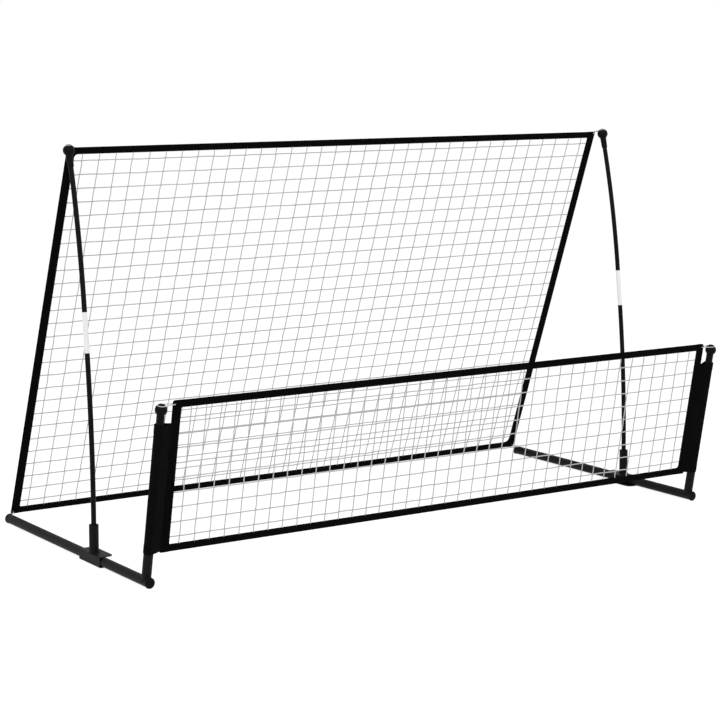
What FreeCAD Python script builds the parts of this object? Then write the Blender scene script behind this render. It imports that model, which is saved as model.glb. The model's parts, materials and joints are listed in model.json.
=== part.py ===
import FreeCAD, Part
import math
import os

import Sketcher

# Ball rebounder with a tall leaning back net and a low front net.
# Two steel base tubes lie on the ground. Each carries a channel bracket with
# a socket for a bowed glass fibre pole, and a leaning front post.
# The tall net hangs between the pole tops and the rear ends of the tubes.
# The low net is held by fabric sleeves on the two front posts.
#
# Frame: X is the width, +Y points to the back, +Z is up, the ground is Z = 0.
# Stations are distances behind the front face of the front end plugs.

SIDES = (("left", -1), ("right", 1))

# Driving dimensions, in millimetres and degrees.
SIZES = (
    ("tube_spacing", 1812.0, "between the axes of the two base tubes"),
    ("base_tube_length", 846.0, "steel tube without its end plugs"),
    ("base_tube_dia", 25.4, "outside diameter of base tube and pole socket"),
    ("base_tube_wall", 1.5, "wall of base tube and pole socket"),
    ("frame_station", 390.7, "station of the middle of the whole depth"),
    ("plug_flange_thick", 3.0, "end plug flange, rounded all round its rim"),
    ("plug_spigot_length", 12.0, "part of the end plug inside the tube"),
    ("plug_spigot_wall", 1.6, "wall of the hollow spigot"),
    ("plug_fit", 0.1, "plug spigot to tube bore, on the radius"),
    ("sheet_thick", 1.5, "steel sheet of the channel bracket"),
    ("bracket_length", 120.0, "channel bracket along the base tube"),
    ("bracket_reach", 29.0, "tube axis to the open edge of the channel"),
    ("bracket_corner", 18.0, "corner radius of the channel's open edge"),
    ("bracket_bend", 2.5, "outside bend radius of the sheet"),
    ("pole_station", 313.0, "station of the pole foot"),
    ("socket_length", 72.0, "steel socket tube standing on the bracket"),
    ("bush_flange", 2.0, "lip of the plastic bush on top of the socket"),
    ("bush_foot_gap", 1.0, "below the bush, above the bracket"),
    ("bush_fit", 0.05, "bush to socket bore, on the radius"),
    ("pole_dia", 13.5, "glass fibre pole and ferrule"),
    ("pole_slide_fit", 0.05, "pole to bush bore, on the radius"),
    ("lower_pole_arc", 449.5, "bowed length from the bush to the ferrule"),
    ("lower_bow_angle", 6.5, "turn of the lower pole"),
    ("ferrule_length", 107.0, "bare metal joining tube"),
    ("ferrule_wall", 1.2, "wall of the joining tube"),
    ("spigot_length", 32.0, "turned end of each pole inside the ferrule"),
    ("spigot_fit", 0.05, "turned end to ferrule bore, on the radius"),
    ("upper_pole_arc", 382.0, "bowed length from the ferrule to the cap"),
    ("upper_bow_angle", 8.0, "turn of the upper pole"),
    ("cap_socket_depth", 30.0, "pole inside the ball cap"),
    ("cap_fit", 0.1, "pole to ball cap bore, on the radius"),
    ("cap_ball_dia", 31.6, "ball of every cap"),
    ("cap_flat_angle", 72.0, "latitude where the top of the ball is cut flat"),
    ("cap_groove_height", 11.3, "cord groove above the ball's middle"),
    ("cap_groove_depth", 3.2, "cord groove into the ball"),
    ("cap_groove_radius", 2.7, "radius of the groove's section"),
    ("pole_neck_length", 44.0, "mouth of the pole cap to the ball's middle"),
    ("pole_neck_mouth_dia", 16.4, "pole cap neck at its mouth"),
    ("pole_neck_top_dia", 19.5, "pole cap neck at the ball"),
    ("post_station", 22.0, "station of the front post on the tube axis"),
    ("post_lean", 11.25, "forward lean of post and front net"),
    ("stub_dia", 25.0, "welded lower post"),
    ("stub_wall", 1.0, "wall of the lower post"),
    ("stub_length", 132.0, "lower post from the base tube axis"),
    ("rod_fit", 0.05, "upper post to lower post bore, on the radius"),
    ("rod_wall", 1.2, "wall of the upper post"),
    ("rod_length", 399.5, "upper post tube"),
    ("rod_seat_gap", 0.3, "upper post foot above the base tube"),
    ("post_neck_dia", 18.5, "neck of the front cap"),
    ("post_neck_length", 41.5, "upper post to the ball's middle"),
    ("post_cap_spigot", 30.0, "front cap inside the upper post"),
    ("post_cap_fit", 0.1, "front cap spigot to upper post bore, on the radius"),
    ("sleeve_gap", 0.3, "fabric sleeve off the lower post, on the radius"),
    ("sleeve_fabric", 1.0, "sleeve fabric thickness"),
    ("sleeve_start", 77.5, "sleeve hem above the base tube axis, along the post"),
    ("sleeve_end_gap", 2.6, "sleeve top past the upper post tube"),
    ("webbing_width", 20.0, "top and bottom edge bands of both nets"),
    ("side_webbing_width", 25.0, "side edge bands of both nets"),
    ("webbing_thick", 3.0, "folded edge band"),
    ("twine_dia", 2.5, "net twine"),
    ("back_net_inset", 7.4, "base tube axis to the back net's outer edge"),
    ("back_net_foot_behind", 8.9, "back net foot behind the rear plug"),
    ("back_net_foot_above", 11.0, "back net foot above the base tube axis"),
    ("back_net_top_behind", 26.8, "back net head behind the ball's middle"),
    ("back_net_top_above", 5.7, "back net head above the ball's middle"),
    ("back_net_columns", 35.0, "upright twines"),
    ("back_net_rows", 27.0, "level twines"),
    ("front_net_inset", 31.0, "base tube axis to the front net's outer edge"),
    ("front_net_foot", 73.0, "front net foot above the base tube axis, along the post"),
    ("front_net_head", 21.3, "front net head above the ball's middle, along the post"),
    ("front_net_columns", 39.0, "upright twines"),
    ("front_net_rows", 9.0, "level twines"),
    ("front_net_column_margin", 0.65, "end column to edge band, in column pitches"),
    ("front_net_row_margin", 0.7, "top row to edge band, in row pitches"),
    ("front_net_low_margin", 0.49, "bottom row to edge band, in row pitches"),
    ("back_net_edge_margin", 0.48, "outer twines to edge band, in pitches"),
    ("eyelet_dia", 5.6, "cord hole in the edge band"),
    ("eyelet_inset", 7.0, "cord hole to the side edge of the net"),
    ("eyelet_drop", 6.0, "cord hole to the upper or lower edge of the back net"),
    ("cord_dia", 2.5, "elastic corner cord"),
    ("cord_end_radius", 3.0, "tight end of a cord loop, on its centre line"),
    ("cord_stand_off", 4.0, "cord bend in front of the edge band, or above the base tube"),
    ("loop_stand_off", 11.5, "cord loop end in front of the back net's edge band"),
    ("cord_seat", 0.3, "between a cord and the groove that it lies in"),
    ("knot_dia", 5.6, "knot that stops the cord"),
    ("knot_seat", 1.4, "knot's middle behind the edge band, in the mouth of its hole"),
    ("tail_hole_inset", 20.0, "cord hole to the rear face of the rear plug"),
    ("tail_hole_dia", 4.0, "cord hole in the top of the base tube"),
)

# Places that follow from the driving dimensions.
LAYOUT = (
    ("tube_x", "=Sizes.tube_spacing / 2"),
    ("tube_z", "=Sizes.base_tube_dia / 2 + Sizes.sheet_thick"),
    ("front_y", "=0 - Sizes.frame_station"),
    ("rear_y", "=front_y + Sizes.base_tube_length + 2 * Sizes.plug_flange_thick"),
    ("bracket_top", "=tube_z + Sizes.base_tube_dia / 2 + Sizes.sheet_thick"),
    ("pole_y", "=front_y + Sizes.pole_station"),
    ("socket_mouth", "=Sizes.socket_length + Sizes.bush_flange"),
    ("lower_bow_radius", "=Sizes.lower_pole_arc * 180 / (pi * Sizes.lower_bow_angle)"),
    ("ferrule_y", "=pole_y + lower_bow_radius * (1 - cos(Sizes.lower_bow_angle))"),
    ("ferrule_z", "=bracket_top + socket_mouth + lower_bow_radius * sin(Sizes.lower_bow_angle)"),
    ("upper_y", "=ferrule_y + Sizes.ferrule_length * sin(Sizes.lower_bow_angle)"),
    ("upper_z", "=ferrule_z + Sizes.ferrule_length * cos(Sizes.lower_bow_angle)"),
    ("upper_bow_radius", "=Sizes.upper_pole_arc * 180 / (pi * Sizes.upper_bow_angle)"),
    ("cap_angle", "=Sizes.lower_bow_angle + Sizes.upper_bow_angle"),
    ("cap_y", "=upper_y + upper_bow_radius * (cos(Sizes.lower_bow_angle) - cos(cap_angle))"),
    ("cap_z", "=upper_z + upper_bow_radius * (sin(cap_angle) - sin(Sizes.lower_bow_angle))"),
    ("ball_y", "=cap_y + Sizes.pole_neck_length * sin(cap_angle)"),
    ("ball_z", "=cap_z + Sizes.pole_neck_length * cos(cap_angle)"),
    ("groove_level_radius",
     "=sqrt(Sizes.cap_ball_dia ^ 2 / 4 - Sizes.cap_groove_height ^ 2)"),
    ("groove_ring", "=groove_level_radius - Sizes.cap_groove_depth + Sizes.cap_groove_radius"),
    ("cord_ring",
     "=groove_level_radius - Sizes.cap_groove_depth + Sizes.cord_dia / 2 + Sizes.cord_seat"),
    ("post_y", "=front_y + Sizes.post_station"),
    ("rod_radius", "=Sizes.stub_dia / 2 - Sizes.stub_wall - Sizes.rod_fit"),
    ("rod_start",
     "=Sizes.base_tube_dia / 2 / cos(Sizes.post_lean)"
     " + rod_radius * tan(Sizes.post_lean) + Sizes.rod_seat_gap"),
    ("rod_end", "=rod_start + Sizes.rod_length"),
    ("post_ball", "=rod_end + Sizes.post_neck_length"),
    ("sleeve_bore", "=Sizes.stub_dia / 2 + Sizes.sleeve_gap"),
    ("sleeve_length", "=rod_end + Sizes.sleeve_end_gap - Sizes.sleeve_start"),
    ("back_half_width", "=tube_x - Sizes.back_net_inset"),
    ("back_foot_y", "=rear_y + Sizes.back_net_foot_behind"),
    ("back_foot_z", "=tube_z + Sizes.back_net_foot_above"),
    ("back_head_y", "=ball_y + Sizes.back_net_top_behind"),
    ("back_head_z", "=ball_z + Sizes.back_net_top_above"),
    ("back_lean", "=atan((back_foot_y - back_head_y) / (back_head_z - back_foot_z))"),
    ("back_height", "=(back_head_z - back_foot_z) / cos(back_lean)"),
    ("front_half_width", "=tube_x - Sizes.front_net_inset"),
    ("front_lean", "=Sizes.post_lean"),
    ("front_foot_y", "=post_y - Sizes.front_net_foot * sin(Sizes.post_lean)"),
    ("front_foot_z", "=tube_z + Sizes.front_net_foot * cos(Sizes.post_lean)"),
    ("front_height", "=post_ball + Sizes.front_net_head - Sizes.front_net_foot"),
    ("front_eyelet_z", "=post_ball + Sizes.cap_groove_height - Sizes.front_net_foot"),
)

document = FreeCAD.newDocument("ball_rebounder")
sizes = document.addObject("Spreadsheet::Sheet", "Sizes")
for row, (alias, number, note) in enumerate(SIZES, start=1):
    sizes.set(f"A{row}", note)
    sizes.set(f"B{row}", str(number))
    sizes.setAlias(f"B{row}", alias)
document.recompute()
layout = document.addObject("Spreadsheet::Sheet", "Layout")
for row, (alias, formula) in enumerate(LAYOUT, start=1):
    layout.setAlias(f"B{row}", alias)
for row, (alias, formula) in enumerate(LAYOUT, start=1):
    layout.set(f"A{row}", alias)
    layout.set(f"B{row}", formula)
document.recompute()

finished = []


def number_of(expression):
    """Present value of an expression, as a plain number."""
    value = sizes.evalExpression(expression)
    return float(getattr(value, "Value", value))


def finish(shape_object, name):
    """Give a finished sub-part its name and put it on the export list."""
    shape_object.Label = name
    finished.append((name, shape_object))
    return shape_object


def place(shape_object, x, y, z, turn="0"):
    """Bind a sub-part's place and its turn about the X direction."""
    shape_object.Placement = FreeCAD.Placement(
        FreeCAD.Vector(0, 0, 0), FreeCAD.Rotation(FreeCAD.Vector(1, 0, 0), 1.0))
    shape_object.setExpression("Placement.Rotation.Angle", turn)
    shape_object.setExpression("Placement.Base.x", x)
    shape_object.setExpression("Placement.Base.y", y)
    shape_object.setExpression("Placement.Base.z", z)
    return shape_object


def sketch_on(body, role, name, lift=None):
    """Sketch on one of the body's own origin planes, lifted along its normal if asked."""
    sketch = body.newObject("Sketcher::SketchObject", name)
    plane = [f for f in body.Origin.OriginFeatures if f.Role == role][0]
    sketch.AttachmentSupport = (plane, [""])
    sketch.MapMode = "FlatFace"
    if lift is not None:
        sketch.setExpression("AttachmentOffset.Base.z", lift)
    return sketch


def bind_point(sketch, geometry, point, x, y):
    """Tie one point of a sketch to two expressions, or to an axis where one is zero."""
    for kind, expression, axis in (("DistanceX", x, -2), ("DistanceY", y, -1)):
        if expression == "0":
            sketch.addConstraint(Sketcher.Constraint("PointOnObject", geometry, point, axis))
        else:
            value = number_of(expression)
            index = sketch.addConstraint(
                Sketcher.Constraint(kind, -1, 1, geometry, point, value))
            sketch.setExpression(f"Constraints[{index}]", expression)


def add_polygon(sketch, corners):
    """Closed outline through corners that are pairs of expressions."""
    points = [FreeCAD.Vector(number_of(x), number_of(y), 0) for x, y in corners]
    first = sketch.GeometryCount
    for index, point in enumerate(points):
        sketch.addGeometry(Part.LineSegment(point, points[(index + 1) % len(points)]), False)
    for index, (x, y) in enumerate(corners):
        line = first + index
        following = first + (index + 1) % len(corners)
        sketch.addConstraint(Sketcher.Constraint("Coincident", line, 2, following, 1))
        bind_point(sketch, line, 1, x, y)


def add_circle(sketch, x, y, radius):
    """Circle whose middle and radius are expressions."""
    middle = FreeCAD.Vector(number_of(x), number_of(y), 0)
    index = sketch.addGeometry(
        Part.Circle(middle, FreeCAD.Vector(0, 0, 1), number_of(radius)), False)
    bind_point(sketch, index, 3, x, y)
    limit = sketch.addConstraint(Sketcher.Constraint("Radius", index, number_of(radius)))
    sketch.setExpression(f"Constraints[{limit}]", radius)


def pad(body, sketch, length, both_ways=False, backwards=False):
    """Extrude a sketch of the body by an expression."""
    feature = body.newObject("PartDesign::Pad", "Pad")
    feature.Profile = sketch
    feature.setExpression("Length", length)
    feature.Midplane = both_ways
    feature.Reversed = backwards
    document.recompute()
    return feature


def cut_through(body, sketch, length, both_ways=False, backwards=False):
    """Pocket a sketch of the body, and check that it removes material."""
    before = body.Tip.Shape.Volume
    feature = body.newObject("PartDesign::Pocket", "Pocket")
    feature.Profile = sketch
    feature.setExpression("Length", length)
    feature.Midplane = both_ways
    feature.Reversed = backwards
    document.recompute()
    if feature.Shape.Volume > before - 1:
        raise RuntimeError(f"{body.Name}: a pocket cuts nothing")
    return feature


def ring_body(name, role, outer, inner, length, backwards=False):
    """Round tube: a ring sketch on an origin plane, extruded."""
    body = document.addObject("PartDesign::Body", name)
    sketch = sketch_on(body, role, "Ring")
    add_circle(sketch, "0", "0", outer)
    add_circle(sketch, "0", "0", inner)
    pad(body, sketch, length, backwards=backwards)
    return body


def primitive(kind, name, **expressions):
    """Part primitive with bound sizes."""
    shape_object = document.addObject(f"Part::{kind}", name)
    for key, expression in expressions.items():
        shape_object.setExpression(key, expression)
    return shape_object


def lifted(shape_object, z, y="0"):
    """Move a primitive along its sub-part's own axis, and sideways if asked."""
    shape_object.setExpression("Placement.Base.y", y)
    shape_object.setExpression("Placement.Base.z", z)
    return shape_object


def combine(kind, name, base, tool):
    """Cut or fuse of two shapes."""
    result = document.addObject(f"Part::{kind}", name)
    result.Base = base
    result.Tool = tool
    return result


TUBE_RADIUS = "Sizes.base_tube_dia / 2"
TUBE_BORE = "(Sizes.base_tube_dia / 2 - Sizes.base_tube_wall)"
POLE_RADIUS = "Sizes.pole_dia / 2"
SPIGOT_RADIUS = "(Sizes.pole_dia / 2 - Sizes.ferrule_wall - Sizes.spigot_fit)"
HALF_WEBBING = "Sizes.webbing_thick / 2"


# Base: tubes, end plugs, channel brackets, pole sockets and bushes

def make_base_tube(side, sign):
    """Straight tube along Y with a cord hole near its rear end."""
    name = f"{side}_base_tube"
    body = ring_body(name, "XZ_Plane", TUBE_RADIUS, TUBE_BORE,
                     "Sizes.base_tube_length", backwards=True)
    sketch = sketch_on(body, "XY_Plane", "CordHole")
    hole_y = "Sizes.base_tube_length + Sizes.plug_flange_thick - Sizes.tail_hole_inset"
    add_circle(sketch, "0", hole_y, "Sizes.tail_hole_dia / 2")
    cut_through(body, sketch, "Sizes.base_tube_dia", backwards=True)
    place(body, f"{sign} * Layout.tube_x", "Layout.front_y + Sizes.plug_flange_thick",
          "Layout.tube_z")
    finish(body, name)


def make_plug(side, sign, end, y, turn):
    """End plug: a flange with a full round rim and a hollow spigot, axis along its own Z."""
    name = f"{side}_{end}_plug"
    disc = primitive("Cylinder", f"{name}_disc", Radius=TUBE_RADIUS, Height="Sizes.plug_flange_thick")
    rim = primitive("Torus", f"{name}_rim",
                    Radius1=f"{TUBE_RADIUS} + Sizes.sheet_thick - Sizes.plug_flange_thick / 2",
                    Radius2="Sizes.plug_flange_thick / 2")
    lifted(rim, "Sizes.plug_flange_thick / 2")
    spigot = primitive("Cylinder", f"{name}_spigot", Radius=f"{TUBE_BORE} - Sizes.plug_fit",
                       Height="Sizes.plug_flange_thick + Sizes.plug_spigot_length")
    hollow = primitive("Cylinder", f"{name}_hollow",
                       Radius=f"{TUBE_BORE} - Sizes.plug_fit - Sizes.plug_spigot_wall",
                       Height="Sizes.plug_spigot_length")
    lifted(hollow, "Sizes.plug_flange_thick")
    flange = combine("Fuse", f"{name}_flange", disc, rim)
    solid = combine("Fuse", f"{name}_solid", flange, spigot)
    plug = combine("Cut", name, solid, hollow)
    place(plug, f"{sign} * Layout.tube_x", y, "Layout.tube_z", turn)
    finish(plug, name)


def straight_edges(shape, direction, keep):
    """Names of the straight edges along a direction whose middle passes the test."""
    names = []
    for index, edge in enumerate(shape.Edges, start=1):
        if not isinstance(edge.Curve, Part.Line):
            continue
        if edge.tangentAt(edge.FirstParameter).cross(direction).Length > 1e-6:
            continue
        if keep(edge.CenterOfMass):
            names.append(f"Edge{index}")
    return names


def fillet(body, edges, radius):
    """Round the named edges of the body's tip."""
    base = body.Tip
    feature = body.newObject("PartDesign::Fillet", "Fillet")
    feature.Base = (base, edges)
    feature.setExpression("Radius", radius)
    document.recompute()
    return feature


def make_bracket(side, sign):
    """Sheet channel round the base tube, open towards the middle of the frame."""
    name = f"{side}_pole_bracket"
    body = document.addObject("PartDesign::Body", name)
    sketch = sketch_on(body, "XZ_Plane", "Channel")
    outer = f"{sign} * ({TUBE_RADIUS} + Sizes.sheet_thick)"
    web = f"{sign} * {TUBE_RADIUS}"
    reach = f"{-sign} * Sizes.bracket_reach"
    high = f"{TUBE_RADIUS} + Sizes.sheet_thick"
    low = f"0 - {TUBE_RADIUS} - Sizes.sheet_thick"
    inner_high = TUBE_RADIUS
    inner_low = f"0 - {TUBE_RADIUS}"
    add_polygon(sketch, [(outer, low), (outer, high), (reach, high), (reach, inner_high),
                         (web, inner_high), (web, inner_low), (reach, inner_low), (reach, low)])
    pad(body, sketch, "Sizes.bracket_length", both_ways=True)
    edge_x = -sign * number_of("Sizes.bracket_reach")
    web_x = sign * (number_of(TUBE_RADIUS) + number_of("Sizes.sheet_thick"))
    corners = straight_edges(body.Tip.Shape, FreeCAD.Vector(0, 0, 1),
                             lambda middle: abs(middle.x - edge_x) < 0.01)
    fillet(body, corners, "Sizes.bracket_corner")
    bends = straight_edges(body.Tip.Shape, FreeCAD.Vector(0, 1, 0),
                           lambda middle: abs(middle.x - web_x) < 0.01)
    fillet(body, bends, "Sizes.bracket_bend")
    place(body, f"{sign} * Layout.tube_x", "Layout.pole_y", "Layout.tube_z")
    finish(body, name)


def make_socket(side, sign):
    """Socket tube that stands on the bracket."""
    name = f"{side}_pole_socket"
    body = ring_body(name, "XY_Plane", TUBE_RADIUS, TUBE_BORE, "Sizes.socket_length")
    place(body, f"{sign} * Layout.tube_x", "Layout.pole_y", "Layout.bracket_top")
    finish(body, name)


def make_bush(side, sign):
    """Plastic bush that fills the socket round the pole, with a lip on top."""
    name = f"{side}_socket_bush"
    barrel = primitive("Cylinder", f"{name}_barrel", Radius=f"{TUBE_BORE} - Sizes.bush_fit",
                       Height="Layout.socket_mouth - Sizes.bush_foot_gap")
    lifted(barrel, "Sizes.bush_foot_gap")
    lip = primitive("Cylinder", f"{name}_lip", Radius=TUBE_RADIUS, Height="Sizes.bush_flange")
    lifted(lip, "Sizes.socket_length")
    bore = primitive("Cylinder", f"{name}_bore", Radius=f"{POLE_RADIUS} + Sizes.pole_slide_fit",
                     Height="Layout.socket_mouth")
    outer = combine("Fuse", f"{name}_outer", barrel, lip)
    bush = combine("Cut", name, outer, bore)
    place(bush, f"{sign} * Layout.tube_x", "Layout.pole_y", "Layout.bracket_top")
    finish(bush, name)


# Poles: two bowed sections, a joining ferrule and a ball cap on each side

def add_line_path(sketch, start, end):
    """Straight run along the sketch's upright axis."""
    low = FreeCAD.Vector(0, number_of(start), 0)
    high = FreeCAD.Vector(0, number_of(end), 0)
    index = sketch.addGeometry(Part.LineSegment(low, high), False)
    bind_point(sketch, index, 1, "0", start)
    bind_point(sketch, index, 2, "0", end)
    return index


def add_bow(sketch, base, radius, angle, line=None):
    """Arc that bends to the back, from the end of an upright run or from the upright axis."""
    bow = number_of(radius)
    turn = math.radians(number_of(angle))
    middle = FreeCAD.Vector(bow, number_of(base), 0)
    circle = Part.Circle(middle, FreeCAD.Vector(0, 0, 1), bow)
    index = sketch.addGeometry(Part.ArcOfCircle(circle, math.pi - turn, math.pi), False)
    bind_point(sketch, index, 3, radius, base)
    if line is None:
        bind_point(sketch, index, 2, "0", base)
    else:
        sketch.addConstraint(Sketcher.Constraint("Coincident", index, 2, line, 2))
    height = f"({base}) + ({radius}) * sin({angle})"
    limit = sketch.addConstraint(
        Sketcher.Constraint("DistanceY", -1, 1, index, 1, number_of(height)))
    sketch.setExpression(f"Constraints[{limit}]", height)
    return index


def add_tail(sketch, arc, base, radius, angle, length):
    """Straight run that carries on from the end of a bow."""
    end_x = f"({radius}) * (1 - cos({angle})) + ({length}) * sin({angle})"
    end_y = f"({base}) + ({radius}) * sin({angle}) + ({length}) * cos({angle})"
    start = sketch.getPoint(arc, 1)
    end = FreeCAD.Vector(number_of(end_x), number_of(end_y), 0)
    index = sketch.addGeometry(Part.LineSegment(start, end), False)
    sketch.addConstraint(Sketcher.Constraint("Coincident", index, 1, arc, 1))
    bind_point(sketch, index, 2, end_x, end_y)
    return index


def pipe(body, profile, spine):
    """Sweep a profile along all the edges of a spine sketch."""
    document.recompute()
    feature = body.newObject("PartDesign::AdditivePipe", "Pipe")
    feature.Profile = profile
    count = len(spine.Shape.Edges)
    feature.Spine = (spine, [f"Edge{index}" for index in range(1, count + 1)])
    document.recompute()
    return feature


def make_lower_pole(side, sign):
    """Straight in the bush, then bowed to the back, with a turned end for the ferrule."""
    name = f"{side}_lower_pole"
    body = document.addObject("PartDesign::Body", name)
    bow = ("Layout.socket_mouth", "Layout.lower_bow_radius", "Sizes.lower_bow_angle")
    core_path = sketch_on(body, "YZ_Plane", "CorePath")
    line = add_line_path(core_path, "0", bow[0])
    arc = add_bow(core_path, *bow, line=line)
    add_tail(core_path, arc, *bow, "Sizes.spigot_length")
    core = sketch_on(body, "XY_Plane", "CoreSection")
    add_circle(core, "0", "0", SPIGOT_RADIUS)
    pipe(body, core, core_path)
    shaft_path = sketch_on(body, "YZ_Plane", "ShaftPath")
    line = add_line_path(shaft_path, "0", bow[0])
    add_bow(shaft_path, *bow, line=line)
    shaft = sketch_on(body, "XY_Plane", "ShaftSection")
    add_circle(shaft, "0", "0", POLE_RADIUS)
    pipe(body, shaft, shaft_path)
    place(body, f"{sign} * Layout.tube_x", "Layout.pole_y", "Layout.bracket_top")
    finish(body, name)


def make_ferrule(side, sign):
    """Bare metal tube between the two pole sections."""
    name = f"{side}_pole_ferrule"
    body = ring_body(name, "XY_Plane", POLE_RADIUS, f"({POLE_RADIUS} - Sizes.ferrule_wall)",
                     "Sizes.ferrule_length")
    place(body, f"{sign} * Layout.tube_x", "Layout.ferrule_y", "Layout.ferrule_z",
          "0 - Sizes.lower_bow_angle")
    finish(body, name)


def make_upper_pole(side, sign):
    """Turned end in the ferrule, then bowed to the back and into the ball cap."""
    name = f"{side}_upper_pole"
    body = document.addObject("PartDesign::Body", name)
    bow = ("Sizes.spigot_length", "Layout.upper_bow_radius", "Sizes.upper_bow_angle")
    core_path = sketch_on(body, "YZ_Plane", "CorePath")
    line = add_line_path(core_path, "0", bow[0])
    arc = add_bow(core_path, *bow, line=line)
    add_tail(core_path, arc, *bow, "Sizes.cap_socket_depth")
    core = sketch_on(body, "XY_Plane", "CoreSection")
    add_circle(core, "0", "0", SPIGOT_RADIUS)
    pipe(body, core, core_path)
    shaft_path = sketch_on(body, "YZ_Plane", "ShaftPath")
    arc = add_bow(shaft_path, *bow)
    add_tail(shaft_path, arc, *bow, "Sizes.cap_socket_depth")
    shaft = sketch_on(body, "XY_Plane", "ShaftSection", lift=bow[0])
    add_circle(shaft, "0", "0", POLE_RADIUS)
    pipe(body, shaft, shaft_path)
    place(body, f"{sign} * Layout.tube_x",
          "Layout.upper_y - Sizes.spigot_length * sin(Sizes.lower_bow_angle)",
          "Layout.upper_z - Sizes.spigot_length * cos(Sizes.lower_bow_angle)",
          "0 - Sizes.lower_bow_angle")
    finish(body, name)


def grooved_ball(name, height):
    """Ball with a flat top and a cord groove, its middle at a height on the axis."""
    ball = primitive("Sphere", f"{name}_ball", Radius="Sizes.cap_ball_dia / 2",
                     Angle2="Sizes.cap_flat_angle")
    lifted(ball, height)
    groove = primitive("Torus", f"{name}_groove", Radius1="Layout.groove_ring",
                       Radius2="Sizes.cap_groove_radius")
    lifted(groove, f"({height}) + Sizes.cap_groove_height")
    return combine("Cut", f"{name}_grooved", ball, groove)


def make_pole_cap(side, sign):
    """Ball cap with a tapering neck over the pole's end."""
    name = f"{side}_pole_cap"
    ball = grooved_ball(name, "Sizes.pole_neck_length")
    neck = primitive("Cone", f"{name}_neck", Radius1="Sizes.pole_neck_mouth_dia / 2",
                     Radius2="Sizes.pole_neck_top_dia / 2", Height="Sizes.pole_neck_length")
    solid = combine("Fuse", f"{name}_solid", ball, neck)
    bore = primitive("Cylinder", f"{name}_bore", Radius=f"{POLE_RADIUS} + Sizes.cap_fit",
                     Height="Sizes.cap_socket_depth")
    cap = combine("Cut", name, solid, bore)
    place(cap, f"{sign} * Layout.tube_x", "Layout.cap_y", "Layout.cap_z", "0 - Layout.cap_angle")
    finish(cap, name)


# Front posts: a welded stub, a sliding upper tube, a ball cap and a fabric sleeve

def place_on_post(shape_object, sign, distance="0"):
    """Place a sub-part on the leaning post, at a distance from the base tube's axis."""
    place(shape_object, f"{sign} * Layout.tube_x",
          f"Layout.post_y - ({distance}) * sin(Sizes.post_lean)",
          f"Layout.tube_z + ({distance}) * cos(Sizes.post_lean)", "Sizes.post_lean")


def make_post_stub(side, sign):
    """Lower post, cut to sit on the base tube."""
    name = f"{side}_post_stub"
    outer = primitive("Cylinder", f"{name}_outer", Radius="Sizes.stub_dia / 2",
                      Height="Sizes.stub_length")
    bore = primitive("Cylinder", f"{name}_bore", Radius="Sizes.stub_dia / 2 - Sizes.stub_wall",
                     Height="Sizes.stub_length")
    saddle = primitive("Cylinder", f"{name}_saddle", Radius=TUBE_RADIUS,
                       Height="4 * Sizes.base_tube_dia")
    saddle.Placement = FreeCAD.Placement(
        FreeCAD.Vector(0, 0, 0), FreeCAD.Rotation(FreeCAD.Vector(1, 0, 0), 90.0))
    saddle.setExpression("Placement.Rotation.Angle", "90 - Sizes.post_lean")
    saddle.setExpression("Placement.Base.y", "2 * Sizes.base_tube_dia * cos(Sizes.post_lean)")
    saddle.setExpression("Placement.Base.z", "0 - 2 * Sizes.base_tube_dia * sin(Sizes.post_lean)")
    tube = combine("Cut", f"{name}_tube", outer, bore)
    stub = combine("Cut", name, tube, saddle)
    place_on_post(stub, sign)
    finish(stub, name)


def make_post_rod(side, sign):
    """Upper post tube, sliding in the stub and standing on the base tube."""
    name = f"{side}_post_rod"
    body = ring_body(name, "XY_Plane", "Layout.rod_radius", "(Layout.rod_radius - Sizes.rod_wall)",
                     "Sizes.rod_length")
    place_on_post(body, sign, "Layout.rod_start")
    finish(body, name)


def make_post_cap(side, sign):
    """Ball cap with a straight neck and a spigot in the upper post."""
    name = f"{side}_post_cap"
    ball = grooved_ball(name, "Sizes.post_neck_length")
    neck = primitive("Cylinder", f"{name}_neck", Radius="Sizes.post_neck_dia / 2",
                     Height="Sizes.post_neck_length")
    spigot = primitive("Cylinder", f"{name}_spigot",
                       Radius="Layout.rod_radius - Sizes.rod_wall - Sizes.post_cap_fit",
                       Height="2 * Sizes.post_cap_spigot")
    lifted(spigot, "0 - Sizes.post_cap_spigot")
    upper = combine("Fuse", f"{name}_upper", ball, neck)
    cap = combine("Fuse", name, upper, spigot)
    place_on_post(cap, sign, "Layout.rod_end")
    finish(cap, name)


def make_post_sleeve(side, sign):
    """Fabric sleeve round the post, with a doubled panel to the front net's edge band."""
    name = f"{side}_post_sleeve"
    radius = "Layout.sleeve_bore + Sizes.sleeve_fabric"
    outer = primitive("Cylinder", f"{name}_outer", Radius=radius, Height="Layout.sleeve_length")
    panel = primitive("Box", f"{name}_panel", Length="Sizes.front_net_inset",
                      Width="2 * Sizes.sleeve_fabric", Height="Layout.sleeve_length")
    panel.setExpression("Placement.Base.x", "0" if sign < 0 else "0 - Sizes.front_net_inset")
    panel.setExpression("Placement.Base.y", "0 - Sizes.sleeve_fabric")
    bore = primitive("Cylinder", f"{name}_bore", Radius="Layout.sleeve_bore",
                     Height="Layout.sleeve_length")
    fabric = combine("Fuse", f"{name}_fabric", outer, panel)
    sleeve = combine("Cut", name, fabric, bore)
    place_on_post(sleeve, sign, "Sizes.sleeve_start")
    finish(sleeve, name)


# Nets: edge bands and netting, each drawn flat with its foot at the sketch origin

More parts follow.
